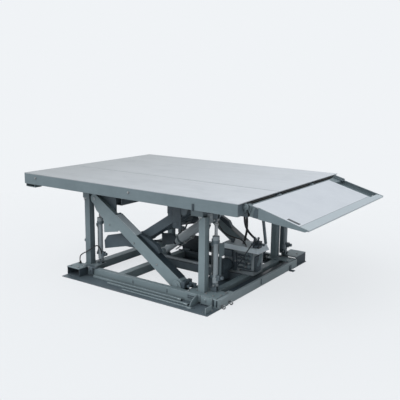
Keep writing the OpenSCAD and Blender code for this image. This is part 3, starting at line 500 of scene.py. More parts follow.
def makeHose(name, v):
    line = smoothLine(v["points"], 5)
    length = sum((b - a).length for a, b in zip(line, line[1:]))
    mesh = tubeMesh(name, line, v["diameter"], 4)
    mesh.materials.append(materials["black_rubber"])
    smooth(mesh, 40)
    hose = addObject(name, mesh)
    top = makeFerrule(name + "Top", line[0], line[1] - line[0], v["diameter"], "deck")
    low = makeFerrule(name + "Low", line[-1] + (line[-2] - line[-1]).normalized() * ferrule["standOff"],
                      line[-2] - line[-1], v["diameter"], "base")
    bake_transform(hose)
    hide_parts(v["node"])
    print(name, "length", round(length, 4))


for hoseName, hoseValues in hoses.items():
    makeHose(hoseName, hoseValues)
print("stage: hoses")


def newMeshes(count):
    return [bmesh.new() for _ in range(count)]


# A point measured from another
def off(at, step):
    return tuple(a + b for a, b in zip(at, step))


def addBlocks(bm, blocks, place=None):
    for low, high, edge in blocks:
        addBlock(bm, low, high, edge, place)


# A block on one side: its X, its distance from the middle and half width, its Z, and its edge
def addSideBlock(bm, side, block, place=None):
    (x0, x1), (y, half), (z0, z1), edge = block
    addBlock(bm, (x0, side * y - half, z0), (x1, side * y + half, z1), edge, place)


# A rod across one side: its X and Z, its two distances from the middle, and its diameter
def addSideRod(bm, side, rod):
    x, z, (y0, y1), diameter = rod
    addRod(bm, (x, side * y0, z), (x, side * y1, z), diameter, 20)


# The turned outline of a fitting with a wide foot and a narrower end
def stepped(wide, shoulder, neck, narrow, end):
    return [(0, 0), (0, wide), (shoulder, wide), (neck, narrow), (end, narrow), (end, 0)]


# Bolts, guide bars, rest pads, a black rubber strip of painted shade in the gap to the lip, and seam of the deck,
# and the hangers under it
deckTrim = {
    "boltXs": (-1.425, 0.036), "boltY": 1.18, "boltZ": 1.148, "boltSize": 0.013,
    "guide": ((0.861, 0.885), (1.183, 0.005), (1.062, 1.134), 0.002),
    "slotShadeBlock": ((-1.6, -1.47), (1.1, 0.05), (1.026, 1.0352), 0.003),     # under the back beam's two ends
    "gapShadeX": (1.381, 1.389), "gapShadeZ": (1.112, 1.186), "gapShadeYs": ((-0.99, -0.47), (-0.33, 0.33), (0.47, 0.99)),
    "beadX": 1.392, "beadZ": 1.176, "beadD": 0.012,
    "beadShort": 0.01,      # how far the bead ends before the dark strip does
    "seamY": -0.37, "seamLow": 1.1985,
    # X, half width and top: filled flush at the back, open towards the lip
    "seams": ((-1.6, 0.16, 0.0014, 1.2005), (0.16, 1.388, 0.0028, 1.2006)),
    "hanger": ((0.29, 0.4), (0.736, 0.006), (0.715, 1.075), 0.003),
    "hangerRod": (0.345, 0.77, (0.729, 0.748), 0.04),
    "hangerWeb": ((0.215, 0.29), (0.736, 0.006), (0.87, 1.075), 0.003),
}


def makeDeckTrim(v):
    bolts, bars, gapShadeBlocks, seam, hanger = newMeshes(5)
    for side in bothSides:
        for x in v["boltXs"]:
            addBolt(bolts, (x, side * v["boltY"], v["boltZ"]), (0, side, 0), v["boltSize"])
        addSideBlock(bars, side, v["guide"])
        addSideBlock(bars, side, v["slotShadeBlock"])
        addSideBlock(hanger, side, v["hanger"])
        addSideRod(hanger, side, v["hangerRod"])
        addSideBlock(hanger, side, v["hangerWeb"])
    (x0, x1), (z0, z1), short = v["gapShadeX"], v["gapShadeZ"], v["beadShort"]
    # Painted shade: black rubber blocks and beads fill the gap to the lip, where shade falls
    for y0, y1 in v["gapShadeYs"]:
        addBlock(gapShadeBlocks, (x0, y0, z0), (x1, y1, z1), 0.003)
        addRod(gapShadeBlocks, (v["beadX"], y0 + short, v["beadZ"]), (v["beadX"], y1 - short, v["beadZ"]), v["beadD"], 14)
    for x0, x1, half, top in v["seams"]:
        addBlock(seam, (x0, v["seamY"] - half, v["seamLow"]), (x1, v["seamY"] + half, top), 0.0003)
    finished("fasciaBolts", bolts, "zinc", "deck")
    finished("guideBars", bars, "black_paint", "deck")
    finished("gapShade", gapShadeBlocks, "black_rubber", "deck")
    finished("deckSeam", seam, "grey_paint", "deck")
    finished("deckHangers", hanger, "deep_paint", "deck")


makeDeckTrim(deckTrim)

# Screw plugs, strips of painted light and shade and axle caps on the arms, and a stop ahead of each arm's foot
armTrim = {
    "plugs": ((-0.56, 0.645), (-0.188, 0.482), (0.144, 0.291)), "plugSize": 0.01, "face": 0.84,
    "stop": ((0.5, 0.545), (0.79, 0.074), (0.1, 0.176), 0.004),
    "stopBracket": ((0.545, 0.64), (0.775, 0.01), (0.1, 0.16), 0.003),
    "stopRod": (0.59, 0.135, (0.755, 0.86), 0.034),
    "pivot": Vector((0.43, 0, 0.115)), "roller": Vector((-0.8026, 0, 0.927)),
    "stripY": (0.73, 0.838), "stripThick": 0.003,
    "lift": 0.0746, "taper": 0.0129,    # the arm's top over its middle line, less this per metre
    # Painted light and shade on each arm's top: a pale strip where light falls on it and a black strip where it
    # lies in shade
    "strips": (("armPaintedLightStrips", "pale_paint", 0.745, 1.105), ("armPaintedShadeStrips", "black_paint", 0.02, 0.735)),
    "cap": [(0, 0), (0, 0.022), (0.004, 0.022), (0.006, 0.02), (0.006, 0.011), (0.002, 0.01), (0.002, 0)],
}


def makeArmTrim(v):
    plugs, stops, ends = newMeshes(3)
    for side in bothSides:
        for x, z in v["plugs"]:
            addBolt(plugs, (x, side * v["face"], z), (0, side, 0), v["plugSize"])
        addSideBlock(stops, side, v["stop"])
        addSideBlock(stops, side, v["stopBracket"])
        addSideRod(stops, side, v["stopRod"])
    finished("armPlugs", plugs, "zinc", "arms")
    finished("footStops", stops, "deep_paint")
    up = (v["roller"] - v["pivot"]).normalized()
    over = Vector((up.z, 0, -up.x))
    inner, outer = v["stripY"]
    for name, coat, start, end in v["strips"]:
        strips = bmesh.new()
        for side in bothSides:
            outline = [v["pivot"] + up * t + over * (v["lift"] - v["taper"] * t) + Vector((0, side * y, 0))
                       for t, y in ((start, inner), (end, inner), (end, outer), (start, outer))]
            addPlate(strips, outline, over, v["stripThick"], 0.0008)
        finished(name, strips, coat, "arms")
    x, _, z = v["roller"]
    for side in bothSides:
        addTurned(ends, (x, side * v["face"], z), (0, side, 0), v["cap"])
    finished("axleCaps", ends, "bare_steel", "arms")


makeArmTrim(armTrim)

# The ram's collar, and its oil pipe with two clamps: distance from the lower eye, how far under it, and Y
ramTrim = {
    "low": Vector((-0.395, 0, 0.172)), "top": Vector((0.572, 0, 0.901)),
    "collarAt": 0.3,
    "collar": [(0.0125, 0.0475), (0, 0.0478), (0, 0.058), (0.004, 0.063), (0.03, 0.063), (0.034, 0.0605),
               (0.034, 0.0596), (0.0125, 0.0475)],
    "pipe": ((0.19, 0.078, -0.03), (0.25, 0.078, -0.03), (0.34, 0.078, -0.03), (0.45, 0.078, -0.03),
             (0.53, 0.078, -0.03), (0.56, 0.07, -0.03), (0.572, 0.048, -0.028)),
    "pipeD": 0.014,
    "clamps": (0.37, 0.5), "clamp": ((-0.014, -0.046, 0.056), (0.014, -0.014, 0.09), 0.003),
}


def makeRamTrim(v):
    along = (v["top"] - v["low"]).normalized()
    under = Vector((along.z, 0, -along.x))
    turn = Matrix((along, (0, 1, 0), under)).transposed().to_4x4()
    collar, pipe = newMeshes(2)
    addTurned(collar, v["low"] + along * v["collarAt"], along, v["collar"], 40)
    finished("ramCollar", collar, "grey_paint", "ram_barrels")
    addPipe(pipe, [v["low"] + along * u + under * drop + Vector((0, y, 0)) for u, drop, y in v["pipe"]], v["pipeD"])
    for u in v["clamps"]:
        addBlock(pipe, *v["clamp"], Matrix.Translation(v["low"] + along * u) @ turn)
    finished("ramPipe", pipe, "zinc", "ram_barrels")


makeRamTrim(ramTrim)

# Fittings on the four corner jacks, measured from each jack's foot pin
jackTrim = {
    "places": ((-0.8056, -0.74, 0.14), (0.862, -0.74, 0.176), (-0.8056, 0.884, 0.14), (0.862, 0.884, 0.176)),
    # Port blocks: their corners, and the place and direction of the union on the pipe between them
    "ports": (((-0.056, -0.017, 0.075), (-0.0162, 0.017, 0.109), (-0.044, 0, 0.109), (0, 0, 1)),
              ((-0.056, -0.017, 0.43), (-0.0162, 0.017, 0.464), (-0.044, 0, 0.43), (0, 0, -1))),
    "union": stepped(0.011, 0.012, 0.014, 0.008, 0.022),
    "pipe": ((-0.044, 0, 0.12), (-0.044, 0, 0.42)), "pipeD": 0.009,
    # Flat bar behind the front jacks' pipes: its X, how far inwards and its half width, and its Z
    "bar": ((-0.066, -0.0108), (0.017, 0.003), (-0.03, 0.5)),
    "valve": ((0.0162, -0.022, 0.06), (0.061, 0.022, 0.118)), "capAt": (0.061, 0, 0.09), "capWay": (1, 0, 0.1),
    "cap": [(0, 0), (0, 0.012), (0.012, 0.012), (0.014, 0.02), (0.03, 0.02), (0.034, 0.016), (0.034, 0)],
    "headAt": (0, 0, 0.465),
    "head": [(0, 0.0385), (0, 0.0405), (0.006, 0.0415), (0.028, 0.0415), (0.032, 0.0395), (0.032, 0.0385),
             (0, 0.0385)],
    "pinHalf": 0.032, "pinSize": 0.012,
    # Nuts on the rod's upper pin and on the rod itself, which ride with the deck, at their own Z
    "nutZ": 0.894, "nutHalf": 0.0335, "nutSize": 0.011, "lockZ": 0.835,
    "lock": [(0, 0.017), (0, 0.026), (0.003, 0.028), (0.02, 0.028), (0.023, 0.026), (0.023, 0.017), (0, 0.017)],
}


def makeJackTrim(v):
    dark, bright, rods = newMeshes(3)
    for at in v["places"]:
        x, y, z = at
        for low, high, union, way in v["ports"]:
            addBlock(dark, off(at, low), off(at, high), 0.003)
            addTurned(bright, off(at, union), way, v["union"], 18)
        addRod(bright, off(at, v["pipe"][0]), off(at, v["pipe"][1]), v["pipeD"], 16, 0.001)
        if x > 0:
            (x0, x1), (inward, half), (z0, z1) = v["bar"]
            middle = y - math.copysign(inward, y)
            addBlock(dark, (x + x0, middle - half, z + z0), (x + x1, middle + half, z + z1), 0.002)
        addBlock(dark, off(at, v["valve"][0]), off(at, v["valve"][1]), 0.003)
        addTurned(dark, off(at, v["capAt"]), v["capWay"], v["cap"], 20)
        addTurned(dark, off(at, v["headAt"]), (0, 0, 1), v["head"], 32)
        for side in bothSides:
            addBolt(bright, (x, y + side * v["pinHalf"], z), (0, side, 0), v["pinSize"])
            addBolt(rods, (x, y + side * v["nutHalf"], v["nutZ"]), (0, side, 0), v["nutSize"])
        addTurned(rods, (x, y, v["lockZ"]), (0, 0, 1), v["lock"], 6)
    finished("jackBlocks", dark, "dark_grey_paint")
    finished("jackPipes", bright, "zinc")
    finished("rodNuts", rods, "zinc", "deck")


makeJackTrim(jackTrim)

# Bolts and tabs of the posts, and the back near post's clip and feed pipe
postTrim = {
    "bolts": ((-0.943, 0.902), (0.728, 0.902)), "boltY": 0.852, "boltSize": 0.01,
    "tabX": (-0.016, 0.03), "tabY": (0.8545, 0.003), "tabZ": (0.008, 0.024),
    "feet": ((-0.9096, 0.812), (0.758, 0.812)), "footX": 0.056, "footY": 0.025, "footZ": 0.108, "footSize": 0.008,
    "clip": ((-0.972, -0.848, 0.38), (-0.9494, -0.826, 0.412)),
    "clipRod": ((-0.961, -0.856, 0.396), (-0.961, -0.818, 0.396)), "clipD": 0.012,
    "pipe": ((-0.998, -0.9, 0.1085), (-1.004, -0.9, 0.14), (-1.003, -0.9, 0.18), (-0.988, -0.9, 0.212),
             (-0.955, -0.89, 0.24), (-0.915, -0.88, 0.262), (-0.87, -0.872, 0.292), (-0.815, -0.858, 0.332),
             (-0.786, -0.832, 0.35), (-0.776, -0.8, 0.33), (-0.772, -0.775, 0.28), (-0.772, -0.762, 0.236)),
    "pipeD": 0.013, "unionAt": (-0.998, -0.9, 0.108), "union": stepped(0.015, 0.016, 0.02, 0.011, 0.03),
}


def makePostTrim(v):
    bolts, clip, pipe = newMeshes(3)
    for side in bothSides:
        for x, z in v["bolts"]:
            addBolt(bolts, (x, side * v["boltY"], z), (0, side, 0), v["boltSize"])
            addSideBlock(bolts, side, (off((x, x), v["tabX"]), v["tabY"], off((z, z), v["tabZ"]), 0.001))
        for x, y in v["feet"]:
            for across in bothSides:
                for along in bothSides:
                    addBolt(bolts, (x + along * v["footX"], side * y + across * v["footY"], v["footZ"]),
                            (0, 0, 1), v["footSize"])
    finished("postBolts", bolts, "zinc")
    addBlock(clip, *v["clip"], 0.003)
    addRod(clip, *v["clipRod"], v["clipD"], 12)
    finished("postClip", clip, "grey_paint")
    addPipe(pipe, v["pipe"], v["pipeD"], 6)
    addTurned(pipe, v["unionAt"], (0, 0, 1), v["union"], 16)
    finished("jackFeedPipe", pipe, "black_rubber")


makePostTrim(postTrim)

soleTop = 0.0078    # a hair inside the soles' top face

# Bolts, weld marks, packing, covers, brackets and eye bolts on the base frame
baseTrim = {
    # Upright bolts: height, size and places on the corner plates, far corner box and near sole
    "bolts": ((0.108, 0.012, ((-1.02, -1.035), (-0.9, -1.035), (-1.02, -0.9), (-0.885, -0.955), (-0.8, -0.955),
                              (0.63, -0.9), (0.69, -0.72), (0.69, 0.72), (0.83, -0.865), (0.83, 0.865),
                              (0.93, -0.88), (0.985, -0.82), (0.985, 0.82), (0.985, -0.72), (0.985, 0.72))),
              (0.13, 0.012, ((0.85, 1.01), (0.98, 1.01), (0.85, 0.93))),
              (0.008, 0.014, ((0.96, -1.02), (1.01, -1.02)))),
    # Two marks on the near channel, then an edge bracket and two lugs on the front tube
    "marks": (((-0.136, -0.9335, 0.04), (-0.122, -0.929, 0.08), 0.0015),
              ((0.353, -0.9335, 0.04), (0.367, -0.929, 0.08), 0.0015),
              ((1.0445, -0.064, 0.03), (1.053, -0.052, 0.098), 0.0015),
              ((1.0445, 0.655, 0.006), (1.052, 0.715, 0.07), 0.002),
              ((1.0445, 0.655, 0.0), (1.105, 0.715, 0.009), 0.002)),
    # Packing bars on the near sole: X from and to, Y and top; each has a wider end and, beside it, a thin dark
    # block of painted shade in the gap
    "bars": ((-0.7, 0.59, -0.975, 0.034), (-0.42, 0.72, -1.035, 0.026), (-0.15, 0.8, -1.09, 0.018)),
    "barHalf": 0.011, "endLong": 0.05, "endHalf": 0.019, "endStep": 0.004,
    "gapX": 0.03, "gapY": (0.016, 0.026), "gapTop": 0.012,
    "channelEnd": ((0.66, -0.9335, 0.03), (0.8, -0.926, 0.1085), 0.001),    # under the near corner plate
    "endGaps": (((0.64, -0.9385, 0.046), (0.78, -0.93, 0.056), 0.001),
                ((0.64, -0.9385, 0.068), (0.78, -0.93, 0.078), 0.001)),
    # Plate, end cap and two upright strips at the near front corner, with a round gusset and a bolt
    "covers": (((0.812, -0.942, soleTop), (0.95, -0.934, 0.104), 0.002),
               ((0.958, -0.94, soleTop), (1.045, -0.932, 0.1045), 0.002),
               ((0.95, -0.955, soleTop), (0.96, -0.932, 0.106), 0.002),
               ((1.03, -0.95, soleTop), (1.04, -0.932, 0.1055), 0.002)),
    "gussetAt": (0.76, -0.9325, 0.008), "gussetOut": 0.118, "gussetUp": 0.097, "gussetThick": 0.006,
    "gussetAngles": range(0, 85, 12),
    "coverBolt": (0.872, -0.942, 0.067), "coverBoltSize": 0.015,
    # Painted shade: black blocks along the front tube's top and at the near corner, and a low black panel behind
    # the ram
    "shades": (((0.957, -0.62, 0.0995), (1.016, 0.74, 0.103), 0.001),
               ((0.964, -0.9425, 0.022), (0.984, -0.9395, 0.094), 0.001),
               ((1.004, -0.9425, 0.022), (1.024, -0.9395, 0.094), 0.001),
               ((0.818, -0.944, soleTop), (0.945, -0.9415, 0.022), 0.001),
               ((-0.44, 0.44, 0.06), (-0.085, 0.45, 0.3), 0.003),
               ((-0.44, 0.425, 0.286), (-0.085, 0.45, 0.3), 0.003)),
    # Two bolted lumps at the near back corner: X, and the block and bolt measured from it
    "lumpXs": (-0.88, -0.775), "lump": ((-0.032, -0.958, 0.03), (0.032, -0.9295, 0.118)),
    "lumpBolt": (0, -0.958, 0.076), "lumpBoltSize": 0.014,
    # The plate over the lumps, and a bracket that hangs beside the back far post
    "brackets": (((-0.908, -0.95, 0.104), (-0.708, -0.88, 0.112), 0.002),
                 ((-0.872, 0.79, 0.7), (-0.85, 0.85, 0.985), 0.004),
                 ((-0.872, 0.835, 0.56), (-0.856, 0.85, 0.72), 0.003)),
    "eyes": ((1.044, -0.755, 0.032), (1.044, -0.9, 0.028)), "eyeFoot": stepped(0.013, 0.006, 0.008, 0.007, 0.014),
    "eyeOut": 0.03, "eyeRadius": 0.02, "eyeD": 0.013, "eyeSteps": 24,
}


def makeBaseTrim(v):
    bolts, marks, strips, gapShades, cover, shade, lumps, rings = newMeshes(8)
    for z, size, places in v["bolts"]:
        for x, y in places:
            addBolt(bolts, (x, y, z), (0, 0, 1), size)
    finished("frameBolts", bolts, "zinc")
    addBlocks(marks, v["marks"])
    finished("frameMarks", marks, "dark_grey_paint")
    half, endHalf = v["barHalf"], v["endHalf"]
    for x0, x1, y, top in v["bars"]:
        addBlock(strips, (x0, y - half, soleTop), (x1, y + half, top), 0.002)
        addBlock(strips, (x1 - v["endLong"], y - endHalf, soleTop), (x1, y + endHalf, top - v["endStep"]), 0.002)
        # Painted shade: thin dark blocks beside the bars and on the channel's end, where the gaps lie in shade
        addBlock(gapShades, (x0 + v["gapX"], y + v["gapY"][0], soleTop), (x1 + v["gapX"], y + v["gapY"][1], v["gapTop"]),
                 0.001)
    addBlock(strips, *v["channelEnd"])
    finished("packingBars", strips, "lit_frame_paint")
    addBlocks(gapShades, v["endGaps"])
    finished("packingGapShades", gapShades, "deep_paint")
    addBlocks(cover, v["covers"])
    arc = [off(v["gussetAt"], (0, -v["gussetOut"] * math.sin(a), v["gussetUp"] * math.cos(a)))
           for a in map(math.radians, v["gussetAngles"])]
    addPlate(cover, arc + [v["gussetAt"]], (1, 0, 0), v["gussetThick"], 0.001)
    addBolt(cover, v["coverBolt"], (0, -1, 0), v["coverBoltSize"])
    finished("cornerCover", cover, "lit_frame_paint")
    addBlocks(shade, v["shades"])
    finished("frameShades", shade, "black_paint")
    for x in v["lumpXs"]:
        addBlock(lumps, *[off((x, 0, 0), corner) for corner in v["lump"]], 0.005)
        addBolt(lumps, off((x, 0, 0), v["lumpBolt"]), (0, -1, 0), v["lumpBoltSize"])
    addBlocks(lumps, v["brackets"])
    finished("frameLumps", lumps, "dark_grey_paint")
    for at in v["eyes"]:
        addTurned(rings, at, (1, 0, 0), v["eyeFoot"], 18)
        turns = [math.tau * k / v["eyeSteps"] for k in range(v["eyeSteps"] + 1)]
        circle = [Vector(off(at, (v["eyeOut"] + v["eyeRadius"] * math.cos(a), 0, v["eyeRadius"] * math.sin(a))))
                  for a in turns]
        addTube(rings, circle, v["eyeD"])
    finished("eyeBolts", rings, "zinc")


makeBaseTrim(baseTrim)

# Pipes, fittings, brackets and drip pans of the power unit, and the deck's prop behind it
powerTrim = {
    # Flat bars on the tank's near and front faces: the middle of their top and foot
    "flats": (((0.85, -0.048, 0.372), (0.806, -0.048, 0.15)), ((0.905, -0.048, 0.372), (0.862, -0.048, 0.15)),
              ((1.02, -0.02, 0.38), (0.985, -0.02, 0.225))),
    "flatHalf": 0.017, "flatThick": 0.008,
    # Upright plate beside the motor, with its foot on the inner rail: X and Z of its outline
    "upright": ((0.628, 0.1), (0.652, 0.1), (0.652, 0.345), (0.688, 0.38), (0.686, 0.51), (0.618, 0.5),
                (0.618, 0.34), (0.628, 0.33)),
    "uprightY": -0.3, "uprightThick": 0.01,
    "prop": ((0.735, 0.4, 1.06), (0.765, 0.4, 1.06), (0.866, 0.4, 0.38), (0.838, 0.4, 0.38)),
    "propThick": 0.03, "propRod": ((0.75, 0.36, 1.035), (0.75, 0.41, 1.035)), "propRodD": 0.024,
    # Relief valves and plugs round the valve block: place and direction
    "valves": (((0.93, -0.04, 0.49), (0, -1, 0)), ((0.97, -0.04, 0.47), (0, -1, 0)), ((0.99, 0.0, 0.48), (1, 0, 0)),
               ((0.93, 0.04, 0.48), (0, 1, 0)), ((0.97, -0.015, 0.512), (0, 0, 1)),
               ((0.92, -0.02, 0.512), (0, 0, 1))),
    "valve": [(0, 0), (0, 0.013), (0.01, 0.013), (0.012, 0.01), (0.034, 0.01), (0.036, 0.014), (0.05, 0.014),
              (0.053, 0.01), (0.053, 0)],
    "breatherAt": (0.6, 0.03, 0.437),
    "breather": [(0, 0), (0, 0.02), (0.02, 0.02), (0.022, 0.03), (0.05, 0.03), (0.055, 0.026), (0.055, 0)],
    # Ledges on the tank's near face, measured from their heights, and the blocks beside them
    "ledgeZs": (0.17, 0.22, 0.27, 0.32), "ledge": ((0.72, -0.058, 0), (0.9, -0.04, 0.022)),
    "blocks": (((0.66, -0.066, 0.13), (0.71, -0.04, 0.35), 0.006),
               ((0.93, -0.02, 0.14), (0.955, 0.1, 0.33), 0.006),
               ((0.54, -0.09, 0.29), (0.66, -0.04, 0.372), 0.008)),
    "fittings": ((0.76, 0.15), (0.84, 0.2), (0.88, 0.25), (0.7, 0.25), (0.8, 0.3)), "fittingY": -0.058,
    "fitting": stepped(0.012, 0.01, 0.012, 0.008, 0.024),
    # Ribs round the motor and its end cover, on the motor's axis
    "motorX": 0.6, "motorZ": 0.195, "ribYs": (-0.235, -0.205, -0.175, -0.145, -0.115), "endY": -0.258,
    "rib": [(0, 0.0745), (0, 0.0775), (0.012, 0.0775), (0.012, 0.0745), (0, 0.0745)],
    "end": [(0, 0), (0, 0.06), (0.01, 0.058), (0.016, 0.03), (0.016, 0)],
    # Steel pipes: diameter and route
    "pipes": (
        (0.014, ((-0.1, -0.098, 0.256), (0.05, -0.098, 0.257), (0.2, -0.098, 0.257), (0.36, -0.098, 0.258),
                 (0.48, -0.095, 0.262), (0.54, -0.085, 0.29), (0.56, -0.075, 0.315))),
        (0.012, ((0.7, -0.07, 0.33), (0.76, -0.085, 0.325), (0.82, -0.085, 0.3), (0.845, -0.082, 0.255),
                 (0.85, -0.078, 0.225), (0.85, -0.062, 0.212))),
        (0.012, ((0.955, 0.02, 0.3), (0.99, 0.01, 0.295), (1.01, -0.02, 0.27), (1.005, -0.05, 0.22),
                 (0.97, -0.07, 0.18), (0.92, -0.075, 0.165), (0.8, -0.075, 0.16), (0.762, -0.07, 0.152))),
        (0.014, ((0.935, -0.093, 0.49), (0.93, -0.13, 0.47), (0.905, -0.15, 0.42), (0.86, -0.15, 0.34),
                 (0.8, -0.14, 0.26), (0.72, -0.12, 0.19), (0.66, -0.11, 0.16)))),
    # Drip pans between the rails and in the near front corner: X and Y of their outlines
    "pans": (((-0.31, -0.049), (0.715, -0.049), (0.715, 0.324), (-0.31, 0.324)),
             ((0.36, -0.091), (0.62, -0.62), (0.715, -0.62), (0.715, -0.091))),
    "panZ": 0.01, "panThick": 0.012,
}


def makePowerTrim(v):
    flats, prop, blocks, bright, pipes = newMeshes(5)
    half = v["flatHalf"]
    for top, foot in v["flats"]:
        outline = [off(at, (step, 0, 0)) for at, step in ((top, -half), (top, half), (foot, half), (foot, -half))]
        addPlate(flats, outline, (0, -1, 0), v["flatThick"], 0.001)
    addPlate(flats, [(x, v["uprightY"], z) for x, z in v["upright"]], (0, 1, 0), v["uprightThick"], 0.002)
    finished("unitFlats", flats, "grey_paint")
    addPlate(prop, v["prop"], (0, -1, 0), v["propThick"], 0.002)
    addRod(prop, *v["propRod"], v["propRodD"], 16)
    finished("deckProp", prop, "grey_paint", "deck")
    for at, way in v["valves"]:
        addTurned(blocks, at, way, v["valve"], 20)
    addTurned(blocks, v["breatherAt"], (0, 0, 1), v["breather"], 28)
    for z in v["ledgeZs"]:
        addBlock(blocks, *[off((0, 0, z), corner) for corner in v["ledge"]], 0.004)
    addBlocks(blocks, v["blocks"])
    for x, z in v["fittings"]:
        addTurned(bright, (x, v["fittingY"], z), (0, -1, 0), v["fitting"], 18)
    for y in v["ribYs"]:
        addTurned(blocks, (v["motorX"], y, v["motorZ"]), (0, 1, 0), v["rib"], 40)
    addTurned(blocks, (v["motorX"], v["endY"], v["motorZ"]), (0, -1, 0), v["end"], 36)
    for diameter, route in v["pipes"]:
        addPipe(pipes, route, diameter)
    for outline in v["pans"]:
        addPlate(blocks, [(x, y, v["panZ"]) for x, y in outline], (0, 0, 1), v["panThick"], 0.002)
    finished("unitBlocks", blocks, "deep_paint")
    finished("unitFittings", bright, "zinc")
    finished("unitPipes", pipes, "black_paint")


makePowerTrim(powerTrim)

# The lip's own frame starts at its hinge: u runs out along its plate, w stands up from it
hingeAt, lipSlope = (1.404, 0, 1.157), 15.6
lipFrame = Matrix.Translation(hingeAt) @ Matrix.Rotation(math.radians(lipSlope), 4, "Y")
lipTrim = {
    # Painted shade: a black block fills the lip's slot, where shade falls
    "slotShade": ((0.402, -1.004, 0.025), (0.528, -0.962, 0.0322), 0.001),
    "patch": ((0.082, -0.083), (0.136, -0.074), (0.12, 0.014), (0.082, 0.014)), "patchY": 1.043,
    "edges": (((0.014, 0.996, 0.019), (0.14, 1.04, 0.034), 0.002),
              ((0.014, 1.018, 0.029), (0.14, 1.04, 0.05), 0.002),
              ((0.014, 1.008, 0.029), (0.59, 1.019, 0.034), 0.001)),
    "headY": 1.075,
    "head": [(0, 0), (0, 0.032), (0.005, 0.032), (0.008, 0.028), (0.008, 0.013), (0.018, 0.011), (0.019, 0)],
    "stop": ((1.384, 1.4), (1.062, 0.012), (1.1, 1.124), 0.003),
}


def makeLipTrim(v):
    slotShadeBlock, patch, edge, heads = newMeshes(4)
    addBlock(slotShadeBlock, *v["slotShade"], lipFrame)
    addBlocks(edge, v["edges"], lipFrame)
    for side in bothSides:
        addPlate(patch, [lipFrame @ Vector((u, side * v["patchY"], w)) for u, w in v["patch"]], (0, side, 0),
                 0.0015, 0.0005)
        addTurned(heads, off(hingeAt, (0, side * v["headY"], 0)), (0, side, 0), v["head"])
        addSideBlock(heads, side, v["stop"])
    finished("slotShade", slotShadeBlock, "black_paint", "lip")
    finished("cheekPatch", patch, "deep_paint", "lip")
    finished("farEdge", edge, "dark_grey_paint", "lip")
    finished("hingeHeads", heads, "grey_paint", "deck")


makeLipTrim(lipTrim)

# Dark cross pieces and small pipes between the arms, the links and the ram
midTrim = {
    "pivot": Vector((-0.1863, 0, 0.521)), "linkWay": Vector((0.8351, 0, 0.5501)),
    # Stays between the link plates: how far along the link from the middle pin, and how far over it
    "stays": (((0.13, 0.34), (-0.045, -0.03)), ((0.12, 0.14), (-0.045, 0.035)), ((0.33, 0.35), (-0.045, 0.035))),
    "stayY": (0.306, 0.191),
    "plate": ((-0.15, 0.515), (-0.02, 0.53), (0.06, 0.5), (0.02, 0.405), (-0.14, 0.365)),
    "plateY": 0.36, "plateThick": 0.02,
    "pipes": ((0.022, ((-0.36, 0.4, 0.4), (-0.3, 0.36, 0.47), (-0.2, 0.33, 0.5), (-0.08, 0.33, 0.47),
                       (0.03, 0.34, 0.4))),
              (0.026, ((-0.4, 0.36, 0.36), (-0.3, 0.34, 0.385), (-0.18, 0.32, 0.392), (-0.08, 0.33, 0.4)))),
}


def makeMidTrim(v):
    stays, plates, pipes = newMeshes(3)
    way = v["linkWay"]
    turn = Matrix((way, (0, 1, 0), (way.z, 0, -way.x))).transposed().to_4x4()
    place = Matrix.Translation(v["pivot"]) @ turn
    for side in bothSides:
        for up, over in v["stays"]:
            addSideBlock(stays, side, (up, v["stayY"], over, 0.003), place)
        addPlate(plates, [(x, side * v["plateY"], z) for x, z in v["plate"]], (0, side, 0), v["plateThick"], 0.002)
        for diameter, route in v["pipes"]:
            addPipe(pipes, [(x, side * y, z) for x, y, z in route], diameter)
    finished("linkStays", stays, "deep_paint", "links")
    finished("armStays", plates, "deep_paint", "arms")
    finished("armPipes", pipes, "black_paint", "arms")


makeMidTrim(midTrim)
print("stage: trim")

# A pale studio that is brightest on the near, back side, and one soft sun
lights = {
    "world": (0.36, 0.93),          # its strength away from the bright side and on it
    "bright": (-0.45, -0.8, 0.4),   # where the world is brightest
    "spread": (-0.8, 0.8),          # how gently it changes between the two
    "paintedLight": (0.97, 0.985, 1.0),
    "seen": (0.872, 0.897, 0.922),  # the background that the camera sees
    "sun": 0.92,
    "sunAngle": 50,
    "sunFrom": (-0.25, -0.9, 0.9),
}


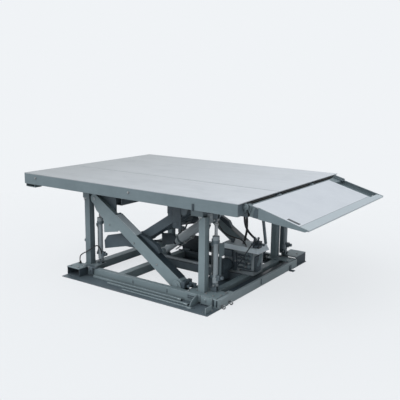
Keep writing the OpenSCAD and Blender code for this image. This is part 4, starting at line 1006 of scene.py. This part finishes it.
def makeLights(v):
    world = bpy.data.worlds.new("studio")
    scene.world = world
    world.use_nodes = True
    tree = world.node_tree
    path = put(tree, "LightPath")
    seen = times(tree, path.outputs["Is Camera Ray"], path.outputs["Is Glossy Ray"], "MAXIMUM")
    seen = times(tree, seen, path.outputs["Is Transmission Ray"], "MAXIMUM")
    back = tree.nodes["Background"]
    tree.links.new(blendColor(tree, seen, (*v["paintedLight"], 1), (*v["seen"], 1)), back.inputs["Color"])
    way = put(tree, "TexCoord").outputs["Generated"]
    bright = Vector(v["bright"]).normalized()
    facing = put(tree, "VectorMath", {"operation": "DOT_PRODUCT"}, {0: way, 1: bright})
    level = reach(tree, facing.outputs["Value"], *v["spread"], *v["world"])
    tree.links.new(blendFactor(tree, seen, level, 1.0), back.inputs["Strength"])
    sun = bpy.data.lights.new("sun", "SUN")
    sun.energy = v["sun"]
    sun.angle = math.radians(v["sunAngle"])
    lamp = addObject("sun", sun)
    lamp.matrix_world = turnTo((0, 0, 0), v["sunFrom"])


makeLights(lights)

floorLook = {
    "color": (0.86, 0.88, 0.9),
    "bounce": (0.62, 0.63, 0.64),   # what the floor sends back onto the lift
    "rough": 0.9,
    "shadow": 0.22,     # how much of the floor, and so of its shadow, shows near the lift
    "clear": 3.2,       # radius where it starts to fade into the background
    "size": 30,
}


def makeFloor(v):
    mat, tree, shader = newMaterial("floor")
    shader.inputs["Roughness"].default_value = v["rough"]
    place = put(tree, "TexCoord").outputs["Object"]
    away = put(tree, "VectorMath", {"operation": "LENGTH"}, {0: place}).outputs["Value"]
    solid = reach(tree, away, v["clear"], v["clear"] * 2, v["shadow"], 0.0)
    seen = put(tree, "LightPath").outputs["Is Camera Ray"]
    tree.links.new(blendColor(tree, seen, (*v["bounce"], 1), (*v["color"], 1)), shader.inputs["Base Color"])
    share = blendFactor(tree, seen, 1.0, solid)
    clear = put(tree, "BsdfTransparent").outputs[0]
    mix = put(tree, "MixShader", {}, {0: share, 1: clear, 2: shader.outputs[0]}).outputs[0]
    tree.links.new(mix, tree.nodes["Material Output"].inputs["Surface"])
    bm = bmesh.new()
    bmesh.ops.create_grid(bm, x_segments=1, y_segments=1, size=v["size"])
    mesh = bpy.data.meshes.new("floor")
    bm.to_mesh(mesh)
    bm.free()
    mesh.materials.append(mat)
    floor = addObject("floor", mesh)


makeFloor(floorLook)
print("stage: studio")
